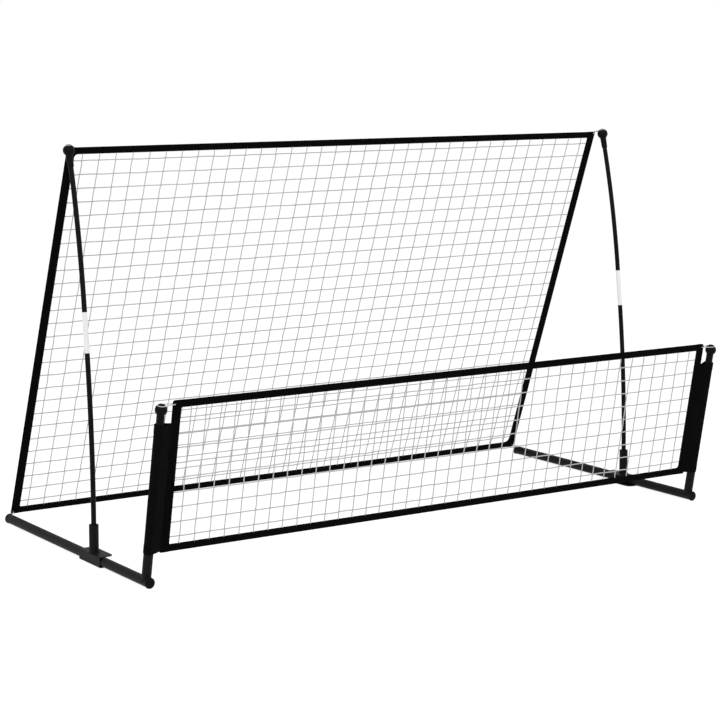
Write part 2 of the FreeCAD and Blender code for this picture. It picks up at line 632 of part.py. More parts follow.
def net_body(net, name, corners, holes=()):
    """Flat strip of edge band in a net's leaning plane, with cord holes."""
    body = document.addObject("PartDesign::Body", name)
    sketch = sketch_on(body, "XZ_Plane", "Outline")
    add_polygon(sketch, corners)
    for x, z in holes:
        add_circle(sketch, x, z, "Sizes.eyelet_dia / 2")
    pad(body, sketch, "Sizes.webbing_thick", both_ways=True)
    place(body, "0", f"Layout.{net}_foot_y", f"Layout.{net}_foot_z", f"Layout.{net}_lean")
    finish(body, name)


def make_level_band(net, end):
    """Top or bottom edge band, between the two side bands."""
    half = f"(Layout.{net}_half_width - Sizes.side_webbing_width)"
    height = f"Layout.{net}_height"
    low, high = ("0", "Sizes.webbing_width")
    if end == "top":
        low, high = (f"{height} - Sizes.webbing_width", height)
    net_body(net, f"{net}_net_{end}_band",
             [(f"0 - {half}", low), (half, low), (half, high), (f"0 - {half}", high)])


def make_side_band(net, side, sign):
    """Side edge band over the full height, with its cord holes."""
    outer = f"{sign} * Layout.{net}_half_width"
    inner = f"{sign} * (Layout.{net}_half_width - Sizes.side_webbing_width)"
    height = f"Layout.{net}_height"
    hole_x = f"{sign} * (Layout.{net}_half_width - Sizes.eyelet_inset)"
    holes = [(hole_x, "Layout.front_eyelet_z")]
    if net == "back":
        holes = [(hole_x, "Sizes.eyelet_drop"), (hole_x, f"{height} - Sizes.eyelet_drop")]
    net_body(net, f"{net}_net_{side}_band",
             [(outer, "0"), (inner, "0"), (inner, height), (outer, height)], holes)


def twine_edges(low, high, count, low_margin, high_margin):
    """Both edges of each twine between two bands, as one rising list.

    The pitch shares out the space after the margins, which are in pitches.
    """
    half = number_of("Sizes.twine_dia") / 2
    pitch = (high - low) / (count - 1 + low_margin + high_margin)
    first = low + low_margin * pitch
    edges = [low + half]
    for index in range(count):
        middle = first + index * pitch
        edges += [middle - half, middle + half]
    return edges + [high - half]


def make_netting(net, column_margin, low_margin, high_margin):
    """Netting: one flat sheet of square twine, open between the twines.

    Its skin is made row by row, each row a strip with a line of openings, and sewn up.
    """
    half = number_of(f"Layout.{net}_half_width - Sizes.side_webbing_width")
    low = number_of("Sizes.webbing_width")
    high = number_of(f"Layout.{net}_height - Sizes.webbing_width")
    columns = round(number_of(f"Sizes.{net}_net_columns"))
    rows = round(number_of(f"Sizes.{net}_net_rows"))
    thick = number_of("Sizes.twine_dia")
    x_edges = twine_edges(-half, half, columns, column_margin, column_margin)
    z_edges = twine_edges(low, high, rows, low_margin, high_margin)

    def rectangle(x_low, x_high, z_low, z_high):
        """Closed wire of four straight edges in the net's plane."""
        corners = [FreeCAD.Vector(x_low, 0, z_low), FreeCAD.Vector(x_high, 0, z_low),
                   FreeCAD.Vector(x_high, 0, z_high), FreeCAD.Vector(x_low, 0, z_high)]
        return Part.makePolygon(corners + corners[:1])

    through = FreeCAD.Vector(0, thick, 0)
    middles = [(below + above) / 2 for below, above in zip(z_edges[1:-1:2], z_edges[2:-1:2])]
    z_splits = [low] + middles + [high]
    faces = []
    for index, (z_low, z_high) in enumerate(zip(z_edges[0::2], z_edges[1::2])):
        strip_low, strip_high = z_splits[index], z_splits[index + 1]
        strip = Part.Face(rectangle(-half, half, strip_low, strip_high))
        openings = []
        for x_low, x_high in zip(x_edges[0::2], x_edges[1::2]):
            opening = rectangle(x_low, x_high, z_low, z_high)
            faces += opening.extrude(through).Faces
            opening.reverse()
            openings.append(opening)
        strip.cutHoles(openings)
        faces += [strip, strip.translated(through)]
        for x_side in (-half, half):
            side = Part.makeLine((x_side, 0, strip_low), (x_side, 0, strip_high))
            faces.append(side.extrude(through))
    for z_side in (low, high):
        faces.append(Part.makeLine((-half, 0, z_side), (half, 0, z_side)).extrude(through))
    skin = Part.makeCompound(faces)
    skin.sewShape()
    sheet = Part.Solid(skin.Shells[0])
    if sheet.Volume < 0:
        sheet.reverse()
    sheet.translate(FreeCAD.Vector(0, -thick / 2, 0))
    netting = document.addObject("Part::Feature", f"{net}_netting")
    netting.Shape = sheet
    place(netting, "0", f"Layout.{net}_foot_y", f"Layout.{net}_foot_z", f"Layout.{net}_lean")
    finish(netting, f"{net}_netting")


# Elastic cords at the corners of the nets

def swept_cord(edges, closed):
    """Round cord along joined edges."""
    wire = Part.Wire(edges)
    start = wire.Edges[0]
    point = start.valueAt(start.FirstParameter)
    tangent = start.tangentAt(start.FirstParameter)
    if wire.OrderedVertexes and not closed:
        point = wire.OrderedVertexes[0].Point
    radius = number_of("Sizes.cord_dia") / 2
    profile = Part.Wire(Part.makeCircle(radius, point, tangent))
    return wire.makePipeShell([profile], True, True)


def loop_edges(far_x, far_y, ring, end):
    """Belt loop in the XY plane, round the origin and round a far point.

    Two arcs of radius ring and end are joined by their outer tangents.
    """
    span = math.hypot(far_x, far_y)
    heading = math.atan2(far_y, far_x)
    spread = math.acos((ring - end) / span)

    def on_circle(centre_x, centre_y, radius, angle):
        """Point on a circle at an angle."""
        return FreeCAD.Vector(centre_x + radius * math.cos(angle),
                              centre_y + radius * math.sin(angle), 0)

    near_a = on_circle(0, 0, ring, heading + spread)
    near_b = on_circle(0, 0, ring, heading - spread)
    near_back = on_circle(0, 0, ring, heading + math.pi)
    far_a = on_circle(far_x, far_y, end, heading + spread)
    far_b = on_circle(far_x, far_y, end, heading - spread)
    far_tip = on_circle(far_x, far_y, end, heading)
    return [Part.LineSegment(near_b, far_b).toShape(),
            Part.Arc(far_b, far_tip, far_a).toShape(),
            Part.LineSegment(far_a, near_a).toShape(),
            Part.Arc(near_a, near_back, near_b).toShape()]


def net_point(net, x, outward, up):
    """Point in a net's leaning plane, at a distance out of the plane to the back."""
    lean = math.radians(number_of(f"Layout.{net}_lean"))
    foot_y = number_of(f"Layout.{net}_foot_y")
    foot_z = number_of(f"Layout.{net}_foot_z")
    return FreeCAD.Vector(x, foot_y + outward * math.cos(lean) - up * math.sin(lean),
                          foot_z + outward * math.sin(lean) + up * math.cos(lean))


def make_post_tie(side, sign):
    """Endless cord loop round the front cap's groove and through the edge band."""
    name = f"{side}_post_tie"
    end = number_of("Sizes.cord_end_radius")
    far = number_of("Sizes.front_net_inset") + number_of("Sizes.eyelet_inset") - end
    ring = number_of("Layout.cord_ring")
    tie = document.addObject("Part::Feature", name)
    tie.Shape = swept_cord(loop_edges(-sign * far, 0, ring, end), True)
    place_on_post(tie, sign, "Layout.post_ball + Sizes.cap_groove_height")
    finish(tie, name)


def stopped_stem(start, bend, end):
    """Cord end that bends at one point and stops in a knot."""
    radius = number_of("Sizes.cord_dia") / 2
    stem = Part.makeSphere(radius, bend)
    for tip in (start, end):
        run = tip - bend
        stem = stem.fuse(Part.makeCylinder(radius, run.Length, bend, run))
    return stem.fuse(Part.makeSphere(number_of("Sizes.knot_dia") / 2, end))


def make_pole_tie(side, sign):
    """Cord loop round the pole cap's groove, knotted behind the back net's top corner."""
    name = f"{side}_pole_tie"
    angle = math.radians(number_of("Layout.cap_angle"))
    axis = FreeCAD.Vector(0, math.sin(angle), math.cos(angle))
    ball = FreeCAD.Vector(sign * number_of("Layout.tube_x"), number_of("Layout.ball_y"),
                          number_of("Layout.ball_z"))
    hub = ball + axis * number_of("Sizes.cap_groove_height")
    eyelet_x = sign * number_of("Layout.back_half_width - Sizes.eyelet_inset")
    eyelet_z = number_of("Layout.back_height - Sizes.eyelet_drop")
    half = number_of(HALF_WEBBING)
    front = net_point("back", eyelet_x, -half - number_of("Sizes.loop_stand_off"), eyelet_z)
    knot = net_point("back", eyelet_x, half + number_of("Sizes.knot_seat"), eyelet_z)
    turn = FreeCAD.Rotation(FreeCAD.Vector(1, 0, 0), -math.degrees(angle))
    flat = turn.inverted().multVec(front - hub)
    ring = number_of("Layout.cord_ring")
    loop = swept_cord(loop_edges(flat.x, flat.y, ring, number_of("Sizes.cord_end_radius")), True)
    loop.Placement = FreeCAD.Placement(hub, turn)
    joint = hub + turn.multVec(FreeCAD.Vector(flat.x, flat.y, 0))
    reach = joint + (joint - hub).normalize() * number_of("Sizes.cord_end_radius")
    bend = net_point("back", eyelet_x, -half - number_of("Sizes.cord_stand_off"), eyelet_z)
    stem = stopped_stem(reach, bend, knot)
    tie = document.addObject("Part::Feature", name)
    tie.Shape = loop.fuse(stem)
    tie.Placement = FreeCAD.Placement()
    finish(tie, name)


def make_tail_tie(side, sign):
    """Cord from the back net's bottom corner into the base tube, knotted at both ends."""
    name = f"{side}_tail_tie"
    tube_x = sign * number_of("Layout.tube_x")
    hole_y = number_of("Layout.rear_y - Sizes.tail_hole_inset")
    top = number_of("Layout.tube_z + Sizes.base_tube_dia / 2")
    wall = number_of("Sizes.base_tube_wall")
    knot_radius = number_of("Sizes.knot_dia") / 2
    half = number_of(HALF_WEBBING)
    eyelet_x = sign * number_of("Layout.back_half_width - Sizes.eyelet_inset")
    eyelet_z = number_of("Sizes.eyelet_drop")
    behind = net_point("back", eyelet_x, half + number_of("Sizes.knot_seat"), eyelet_z)
    front = net_point("back", eyelet_x, -half - number_of("Sizes.cord_stand_off"), eyelet_z)
    above = FreeCAD.Vector(tube_x, hole_y, top + number_of("Sizes.cord_stand_off"))
    inside = FreeCAD.Vector(tube_x, hole_y, top - wall - knot_radius)
    points = [behind, front, above, inside]
    cord = swept_cord(rounded_route(points), False)
    for end in (behind, inside):
        cord = cord.fuse(Part.makeSphere(knot_radius, end))
    tie = document.addObject("Part::Feature", name)
    tie.Shape = cord
    tie.Placement = FreeCAD.Placement()
    finish(tie, name)


def rounded_route(points):
    """Straight runs joined by tangent arcs, each as large as its two runs allow."""
    edges = []
    start = points[0]
    for before, corner, after in zip(points, points[1:], points[2:]):
        back = before - corner
        ahead = after - corner
        trim = 0.45 * min(back.Length, ahead.Length)
        back.normalize()
        ahead.normalize()
        entry = corner + back * trim
        leave = corner + ahead * trim
        half_angle = back.getAngle(ahead) / 2
        radius = trim * math.tan(half_angle)
        bisector = (back + ahead).normalize()
        middle = corner + bisector * (radius / math.sin(half_angle) - radius)
        edges.append(Part.LineSegment(start, entry).toShape())
        edges.append(Part.Arc(entry, middle, leave).toShape())
        print(f"cord bend radius {radius:.1f} mm")
        start = leave
    edges.append(Part.LineSegment(start, points[-1]).toShape())
    return edges


for side, sign in SIDES:
    make_base_tube(side, sign)
    make_plug(side, sign, "front", "Layout.front_y", "0 - 90")
    make_plug(side, sign, "rear", "Layout.rear_y", "90")
    make_bracket(side, sign)
    make_socket(side, sign)
    make_bush(side, sign)
    make_lower_pole(side, sign)
    make_ferrule(side, sign)
    make_upper_pole(side, sign)
    make_pole_cap(side, sign)
    make_post_stub(side, sign)
    make_post_rod(side, sign)
    make_post_cap(side, sign)
    make_post_sleeve(side, sign)

for net in ("back", "front"):
    for end in ("top", "bottom"):
        make_level_band(net, end)
    for side, sign in SIDES:
        make_side_band(net, side, sign)

edge = number_of("Sizes.back_net_edge_margin")
make_netting("back", edge, edge, edge)
make_netting("front", number_of("Sizes.front_net_column_margin"),
             number_of("Sizes.front_net_low_margin"), number_of("Sizes.front_net_row_margin"))

for side, sign in SIDES:
    make_pole_tie(side, sign)
    make_post_tie(side, sign)
    make_tail_tie(side, sign)

document.recompute()

for shape_object in document.Objects:
    if "Invalid" in shape_object.State or "Error" in shape_object.State:
        raise RuntimeError(f"{shape_object.Label}: {shape_object.State}")
for name, shape_object in finished:
    shape = shape_object.Shape
    if shape.isNull() or not shape.isValid() or not shape.Solids:
        raise RuntimeError(f"{name}: no valid solid")

os.makedirs("parts", exist_ok=True)
for name, shape_object in finished:
    shape_object.Shape.exportStep(f"parts/{name}.step")
    print(f"{name}: {len(shape_object.Shape.Solids)} solid, {shape_object.Shape.Volume:.0f} cubic mm")
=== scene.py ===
"""Ball rebounder: finishes, nets, sleeves, cords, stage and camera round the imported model."""
import itertools
import json
import math

import bpy
import numpy as np
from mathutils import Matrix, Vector


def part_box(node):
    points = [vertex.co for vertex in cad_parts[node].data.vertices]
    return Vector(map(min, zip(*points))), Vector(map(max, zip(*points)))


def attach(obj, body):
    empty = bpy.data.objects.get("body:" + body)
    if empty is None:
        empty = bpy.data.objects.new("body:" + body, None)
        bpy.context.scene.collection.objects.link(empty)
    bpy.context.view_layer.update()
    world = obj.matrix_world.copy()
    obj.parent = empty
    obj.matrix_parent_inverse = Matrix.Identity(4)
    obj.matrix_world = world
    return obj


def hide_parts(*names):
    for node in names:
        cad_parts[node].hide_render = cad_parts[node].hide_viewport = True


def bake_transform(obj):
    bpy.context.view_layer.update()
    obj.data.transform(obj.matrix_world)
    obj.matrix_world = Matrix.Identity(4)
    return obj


bl_info = {
    "name": "Ball rebounder",
    "version": (1, 0, 0),
    "blender": (4, 5, 0),
    "location": "3D View > Sidebar > Rebounder",
    "description": "Finishes, nets, sleeves and cords of a rebounder with a tall and a low net",
    "category": "Object",
}

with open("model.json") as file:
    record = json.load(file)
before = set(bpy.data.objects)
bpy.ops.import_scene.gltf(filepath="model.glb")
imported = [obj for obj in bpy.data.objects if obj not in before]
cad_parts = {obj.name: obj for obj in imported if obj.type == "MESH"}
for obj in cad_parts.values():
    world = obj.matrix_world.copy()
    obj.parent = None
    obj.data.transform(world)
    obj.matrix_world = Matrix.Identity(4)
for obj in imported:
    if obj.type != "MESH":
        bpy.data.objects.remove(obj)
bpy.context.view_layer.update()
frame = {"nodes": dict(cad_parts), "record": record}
SIDES = (("left", -1.0), ("right", 1.0))
NETS = ("back", "front")
X_AXIS = np.array([1.0, 0.0, 0.0])
TURN = 2.0 * math.pi


# Sizes and colours that a user would change

def number(name, description, default, unit="LENGTH"):
    """Number that the panel shows."""
    return bpy.props.FloatProperty(name=name, description=description, default=default, unit=unit)


def colour(name, description, default):
    """Colour that the panel shows."""
    return bpy.props.FloatVectorProperty(
        name=name, description=description, default=default, subtype="COLOR")


class NetSettings(bpy.types.PropertyGroup):
    """Twine, edge bands and stitches of both nets."""

    twine: number("Twine", "Thickness of the net's twine", 0.0031)
    knot: number("Knot", "Width of the join where two twines cross", 0.0046)
    sag: number("Slack", "How far a twine strays between two knots", 0.0006)
    band_thickness: number("Band thickness", "Webbing folded over the net's edge", 0.003)
    stitch: number("Stitch", "Length of one stitch with its gap", 0.005)


class SleeveSettings(bpy.types.PropertyGroup):
    """Cloth sleeves round the two front posts, and the elastic corner cords."""

    cloth: number("Cloth", "Thickness of the sleeve's cloth", 0.001)
    hem: number("Hem", "Height of the turned hem at each end", 0.022)
    cord: number("Cord", "Thickness of the elastic corner cords", 0.0025)


class ColourSettings(bpy.types.PropertyGroup):
    """Base colours of the finishes."""

    coat: colour("Powder coat", "Steel tubes and brackets", (0.006, 0.006, 0.0064))
    pole: colour("Pole", "Glass fibre poles", (0.0035, 0.0035, 0.0037))
    plastic: colour("Plastic", "Caps, plugs and bushes", (0.0025, 0.0025, 0.0027))
    metal: colour("Ferrule", "Bare joining tubes", (0.82, 0.82, 0.83))
    webbing: colour("Webbing", "Edge bands of the nets", (0.0018, 0.0018, 0.0019))
    sleeve: colour("Sleeve", "Cloth of the sleeves", (0.003, 0.003, 0.0032))
    twine: colour("Twine", "Net twine", (0.60, 0.61, 0.62))
    elastic: colour("Elastic", "Corner cords", (0.62, 0.62, 0.61))


class StageSettings(bpy.types.PropertyGroup):
    """Camera, lamps and floor."""

    camera_place: bpy.props.FloatVectorProperty(
        name="Camera", description="Place of the camera", default=(-3.2531, -4.8853, 1.3507),
        unit="LENGTH")
    camera_azimuth: number("Azimuth", "Turn of the camera round the object",
                           math.radians(-33.493), "ROTATION")
    camera_pitch: number("Pitch", "How far the camera looks down", math.radians(5.737), "ROTATION")
    camera_lens: number("Lens", "Focal length in millimetres", 103.4, "NONE")
    camera_shift: number("Shift", "Upright shift of the picture", -0.15, "NONE")
    floor: colour("Floor", "Colour of the floor", (0.82, 0.82, 0.82))
    key_power: number("Key lamp", "Power of the large lamp in watts", 200.0, "NONE")
    fill_power: number("Fill lamp", "Power of the lamp on the other side in watts", 50.0, "NONE")
    sky: number("Sky", "Light from all round", 0.55, "NONE")


def settings():
    """The four groups of settings of the present scene."""
    scene = bpy.context.scene
    return scene.rebounder_net, scene.rebounder_sleeve, scene.rebounder_colour, scene.rebounder_stage


# Node helpers

def new_node(tree, kind, *sources, **values):
    """New shader node with sources linked to its first inputs, in their order.

    Values that name a property of the node are written to it, and others to its inputs.
    """
    node = tree.nodes.new(f"ShaderNode{kind}")
    for key, value in values.items():
        if hasattr(node, key):
            setattr(node, key, value)
        else:
            node.inputs[key.replace("_", " ")].default_value = value
    for source, target in zip(sources, node.inputs):
        tree.links.new(source, target)
    return node


class Finish:
    """One procedural material with its Principled shader, built up node by node."""

    def __init__(self, colour, roughness, **sockets):
        self.material = bpy.data.materials.new("finish")
        self.material.use_nodes = True
        self.tree = self.material.node_tree
        self.shader = self.tree.nodes["Principled BSDF"]
        self.colour, self.height = colour, None
        for key, value in {"Base Color": (*colour, 1.0), "Roughness": roughness, **sockets}.items():
            self.shader.inputs[key.replace("_", " ")].default_value = value

    def node(self, kind, *sources, **values):
        """New node in this material."""
        return new_node(self.tree, kind, *sources, **values)

    def drive(self, socket, source):
        """Link an output to one of the shader's own inputs."""
        self.tree.links.new(source, self.shader.inputs[socket])

    def place(self, output="Object", scale=(1.0, 1.0, 1.0)):
        """Coordinates of the piece in metres, or its own UV map, stretched by scale."""
        source = self.node("TexCoord").outputs[output]
        return self.node("Mapping", source, Scale=scale).outputs["Vector"]

    def noise(self, vector, scale, detail=3.0, roughness=0.5):
        """Fractal noise at so many cells a metre."""
        texture = self.node("TexNoise", vector, Scale=scale, Detail=detail, Roughness=roughness)
        return texture.outputs["Fac"]

    def maths(self, operation, *terms):
        """Arithmetic on sockets and plain numbers."""
        node = self.node("Math", operation=operation)
        for term, target in zip(terms, node.inputs):
            if isinstance(term, (int, float)):
                target.default_value = term
            else:
                self.tree.links.new(term, target)
        return node.outputs[0]

    def ranged(self, value, low, high, to_low, to_high):
        """Value carried from one range to another, held at its ends."""
        node = self.node("MapRange", value, From_Min=low, From_Max=high, To_Min=to_low,
                         To_Max=to_high)
        return node.outputs["Result"]

    def whole(self, wave):
        """A wave between -1 and 1 carried to the range 0 to 1."""
        return self.ranged(wave, -1.0, 1.0, 0.0, 1.0)

    def angles(self, u_turns, v_turns):
        """The UV map's u and v as angles, at so many turns for one unit of each."""
        node = self.node("SeparateXYZ", self.place("UV"))
        return (self.maths("MULTIPLY", node.outputs["X"], TURN * u_turns),
                self.maths("MULTIPLY", node.outputs["Y"], TURN * v_turns))

    def tint(self, factor, darker, lighter):
        """Base colour between a darker and a lighter share of the finish's own."""
        mix = self.node("Mix", factor, data_type="RGBA")
        mix.inputs["A"].default_value = (*scaled(self.colour, darker), 1.0)
        mix.inputs["B"].default_value = (*scaled(self.colour, lighter), 1.0)
        self.drive("Base Color", mix.outputs["Result"])

    def rough(self, factor, low, high):
        """Roughness between two numbers."""
        self.drive("Roughness", self.ranged(factor, 0.0, 1.0, low, high))

    def bump(self, height, distance, strength=1.0):
        """Relief of a height socket, on top of the relief so far."""
        node = self.node("Bump", Distance=distance, Strength=strength)
        self.tree.links.new(height, node.inputs["Height"])
        if self.height is not None:
            self.tree.links.new(self.height, node.inputs["Normal"])
        self.height = node.outputs["Normal"]
        self.drive("Normal", self.height)


def scaled(colour, factor):
    """A colour made lighter or darker."""
    return tuple(channel * factor for channel in colour)


# Finishes

def powder_coat(colour):
    """Baked powder on steel: orange-peel relief, fine sparkle grain, slight sheen changes."""
    finish = Finish(colour, 0.5, Specular_IOR_Level=0.08)
    place = finish.place()
    peel = finish.noise(place, 900.0, 2.0)
    grain = finish.noise(place, 4200.0, 2.0)
    cloud = finish.noise(place, 14.0, 3.0)
    finish.tint(finish.maths("MULTIPLY", cloud, grain), 0.72, 1.7)
    finish.rough(cloud, 0.44, 0.6)
    finish.bump(peel, 0.00012, 0.6)
    finish.bump(grain, 0.00003, 0.5)
    return finish.material


def pole_coating(colour):
    """Pulled glass fibre rod under a thin black skin: long fine streaks and soft gloss."""
    finish = Finish(colour, 0.42, Specular_IOR_Level=0.07)
    streak = finish.noise(finish.place(scale=(1.0, 1.0, 0.03)), 1500.0, 3.0)
    cloud = finish.noise(finish.place(), 9.0, 2.0)
    finish.tint(streak, 0.75, 1.3)
    finish.rough(cloud, 0.38, 0.52)
    finish.bump(streak, 0.00004, 0.6)
    return finish.material


def moulded_plastic(colour):
    """Moulded plastic: spark-eroded grain, worn a little smoother where it is handled."""
    finish = Finish(colour, 0.5, Specular_IOR_Level=0.07)
    place = finish.place()
    cells = finish.node("TexVoronoi", place, Scale=2600.0)
    handled = finish.noise(place, 60.0, 3.0)
    finish.tint(handled, 0.8, 1.35)
    finish.rough(handled, 0.42, 0.6)
    finish.bump(cells.outputs["Distance"], 0.00004, 0.7)
    return finish.material


def drawn_metal(colour):
    """Bare drawn tube: fine lines along its length and a few handling marks."""
    finish = Finish(colour, 0.3, Metallic=1.0)
    lines = finish.noise(finish.place(scale=(1.0, 1.0, 0.02)), 3500.0, 2.0)
    marks = finish.noise(finish.place(), 120.0, 4.0)
    finish.tint(marks, 0.86, 1.08)
    finish.rough(lines, 0.22, 0.4)
    finish.bump(lines, 0.00002, 0.5)
    return finish.material


def woven(colour, across, along, thread, relief):
    """Weave on the piece's own UV map, in metres: threads under and over in a plain weave.

    Height is the product of one wave across and one along, each of one thread's width.
    """
    finish = Finish(colour, 0.9, Sheen_Weight=0.012, Sheen_Roughness=0.5,
                    Specular_IOR_Level=0.02)
    waves = (finish.maths("SINE", angle) for angle in finish.angles(1.0 / across, 1.0 / along))
    weave = finish.whole(finish.maths("MULTIPLY", *waves))
    fibre = finish.noise(finish.place("UV"), thread, 4.0, 0.65)
    cloud = finish.noise(finish.place("UV"), 22.0, 3.0)
    # Partly painted shade: the weave term paints the threads darker where they dip under the
    # crossing threads; fibre and cloud vary the tone at random.
    shade = finish.maths("MULTIPLY", finish.maths("ADD", weave, fibre), cloud)
    finish.tint(shade, 0.55, 1.7)
    finish.rough(fibre, 0.76, 0.95)
    finish.bump(weave, relief, 0.9)
    finish.bump(fibre, relief * 0.3, 0.6)
    return finish.material


def twisted(colour, pitch, plies, relief):
    """Plies laid round a cord, on its UV map: u goes round once, v runs along in metres."""
    finish = Finish(colour, 0.8, Specular_IOR_Level=0.1)
    phase = finish.maths("ADD", *finish.angles(plies, 1.0 / pitch))
    ply = finish.whole(finish.maths("SINE", phase))
    fuzz = finish.noise(finish.place(), 2600.0, 3.0, 0.6)
    cloud = finish.noise(finish.place(), 7.0, 2.0)
    # Painted shade: the grooves between the plies are painted darker, down to 0.55 of the colour.
    painted_groove_shade = finish.ranged(ply, 0.0, 1.0, 0.55, 1.0)
    finish.tint(finish.maths("MULTIPLY", painted_groove_shade, cloud), 0.72, 1.18)
    finish.bump(ply, relief, 0.9)
    finish.bump(fuzz, relief * 0.3, 0.5)
    return finish.material


def braided(colour, pitch, strands, relief):
    """Braid: two sets of strands that wind round the cord in opposite ways and cross."""
    finish = Finish(colour, 0.7, Sheen_Weight=0.1, Sheen_Roughness=0.5)
    angles = finish.angles(strands, 1.0 / pitch)
    sets = (finish.maths("SINE", finish.maths(way, *angles)) for way in ("ADD", "SUBTRACT"))
    braid = finish.whole(finish.maths("MULTIPLY", *sets))
    fuzz = finish.noise(finish.place(), 2400.0, 3.0, 0.6)
    # Painted shade: the strands are painted darker where they pass under the crossing ones; fuzz
    # varies the tone at random.
    finish.tint(finish.maths("MULTIPLY", braid, fuzz), 0.82, 1.1)
    finish.bump(braid, relief, 0.8)
    return finish.material


# Mesh helpers

# Points round a cord
CORD_POINTS = 10


def new_piece(name, skin, slot, body=None, stands_for=(), finish=None):
    """Object at the origin from a closed skin, faced outward, with its finish and its body.

    The skin is (points, faces, uvs): an array of places, index arrays of one corner count
    each, and one UV pair for each corner of the same faces. Its signed volume, a sixth of the
    sum of corner determinants over all triangles of the faces' fans, says which way it faces.
    """
    points, faces, uvs = skin
    volume = 0.0
    for face in faces:
        corners = points[face]
        for last in range(2, face.shape[1]):
            volume += np.einsum("ij,ij->", corners[:, 0],
                                np.cross(corners[:, last - 1], corners[:, last])) / 6.0
    if volume < 0.0:
        faces = [face[:, ::-1] for face in faces]
        uvs = [uv[:, ::-1] for uv in uvs]
    mesh = bpy.data.meshes.new(name)
    mesh.from_pydata(points, [], [one for face in faces for one in face.tolist()],
                     shade_flat=False)
    flat = np.concatenate([uv.ravel() for uv in uvs]).astype(np.float32)
    mesh.uv_layers.new(name="cloth").data.foreach_set("uv", flat)
    if mesh.validate():
        raise RuntimeError(f"{name}: the mesh needed repair")
    piece = bpy.data.objects.new(name, mesh)
    mesh.materials.append(finish_of(finish or slot))
    bpy.context.scene.collection.objects.link(piece)
    if stands_for:
        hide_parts(*stands_for)
    if body:
        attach(piece, body)
    return piece


def joined(*skins):
    """Several skins as one."""
    points, faces, uvs, offset = [], [], [], 0
    for some_points, some_faces, some_uvs in skins:
        points.append(some_points)
        faces += [face + offset for face in some_faces]
        uvs += list(some_uvs)
        offset += len(some_points)
    return np.concatenate(points), faces, uvs


def walls_between(index):
    """Faces of four corners between neighbouring rows of point numbers, round each row."""
    following = np.roll(index, -1, axis=-1)
    return np.stack([index[..., :-1, :], following[..., :-1, :], following[..., 1:, :],
                     index[..., 1:, :]], axis=-1).reshape(-1, 4)


def equal_angles(count):
    """So many equal steps of one turn."""
    return np.arange(count) * TURN / count


def distances(line, closed):
    """Distance of each point along a line, and of the first one again for a closed line."""
    if closed:
        line = np.vstack([line, line[:1]])
    return np.concatenate([[0.0], np.cumsum(np.linalg.norm(np.diff(line, axis=0), axis=1))])


def middle_across(node):
    """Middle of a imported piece's box on X."""
    low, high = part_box(node)
    return (low.x + high.x) / 2


def uv_grid(around, along):
    """UV pairs of a grid, and those of the corners of the faces between its rows."""
    uv = np.stack(np.meshgrid(around, along), axis=-1)
    corners = np.stack([uv[:-1, :-1], uv[:-1, 1:], uv[1:, 1:], uv[1:, :-1]], axis=-2)
    return uv, corners.reshape(-1, 4, 2)


def loft(grid, around, along, ring_shaped=False):
    """Closed skin over a grid of points (rows, ring, 3), round in its second direction.

    A ring-shaped one also runs from its last row to its first; another one is closed by flat
    ends. around and along are the UV distances of its columns and rows, with one more column
    than the grid, and for a ring-shaped skin one more row.
    """
    rows, ring = grid.shape[:2]
    index = np.arange(rows * ring).reshape(rows, ring)
    if ring_shaped:
        index = np.concatenate([index, index[:1]])
    uv, wall_uv = uv_grid(around, along)
    faces, uvs = [walls_between(index)], [wall_uv]
    if not ring_shaped:
        faces.append(np.stack([index[0, ::-1], index[-1]]))
        uvs.append(np.stack([uv[0, :-1][::-1], uv[-1, :-1]]))
    return grid.reshape(-1, 3), faces, uvs


def tubes(paths, across, over, radius, ring, lengthwise):
    """Closed tubes along many like paths of the shape (tubes, steps, 3).

    A point is path + radius (cos a across + sin a over) for equal angles a. lengthwise is
    each step's distance along the tube, for v; u goes round once.
    """
    count, steps = paths.shape[:2]
    angle = equal_angles(ring)
    circle = np.cos(angle)[:, None] * across + np.sin(angle)[:, None] * over
    points = paths[:, :, None, :] + radius * circle
    index = np.arange(count * steps * ring).reshape(count, steps, ring)
    wall_uv = uv_grid(np.arange(ring + 1) / ring, lengthwise)[1]
    ends = np.concatenate([index[:, 0, ::-1], index[:, -1]])
    return (points.reshape(-1, 3), [walls_between(index), ends],
            [np.tile(wall_uv, (count, 1, 1)), np.zeros((len(ends), ring, 2))])


def unit(vectors):
    """Vectors of length one."""
    return vectors / np.linalg.norm(vectors, axis=-1, keepdims=True)


def cord_skin(points, radius, closed=False, ring=CORD_POINTS):
    """Round cord along a line of points, closed on itself if asked.

    The section turns with the line and never round it: at each step the last sideways
    direction loses its part along the new tangent.
    """
    if closed:
        tangents = unit(np.roll(points, -1, axis=0) - np.roll(points, 1, axis=0))
    else:
        tangents = unit(np.gradient(points, axis=0))
    start = np.eye(3)[np.argmin(np.abs(tangents[0]))]
    sideways = []
    for tangent in tangents:
        start = unit(start - tangent * (start @ tangent))
        sideways.append(start)
    over = np.array(sideways)
    across = np.cross(over, tangents)
    angle = equal_angles(ring)
    grid = points[:, None] + radius * (np.cos(angle)[:, None] * across[:, None]
                                       + np.sin(angle)[:, None] * over[:, None])
    return loft(grid, np.arange(ring + 1) / ring, distances(points, closed), closed)


def soft_line(points, count):
    """Smooth line that rounds the corners of a route.

    Each corner has a quadratic curve from the middle of the run before it to the middle of
    the run after it: (1-t)^2 a + 2t(1-t) b + t^2 c. The first and last runs are whole.
    """
    corners = np.asarray(points, float)
    middles = (corners[:-1] + corners[1:]) / 2.0
    middles[0], middles[-1] = corners[0], corners[-1]
    share = np.linspace(0.0, 1.0, count, endpoint=False)[:, None]
    parts = [(1 - share) ** 2 * a + 2 * share * (1 - share) * b + share ** 2 * c
             for a, b, c in zip(middles[:-1], corners[1:-1], middles[1:])]
    return np.concatenate(parts + [corners[-1:]])


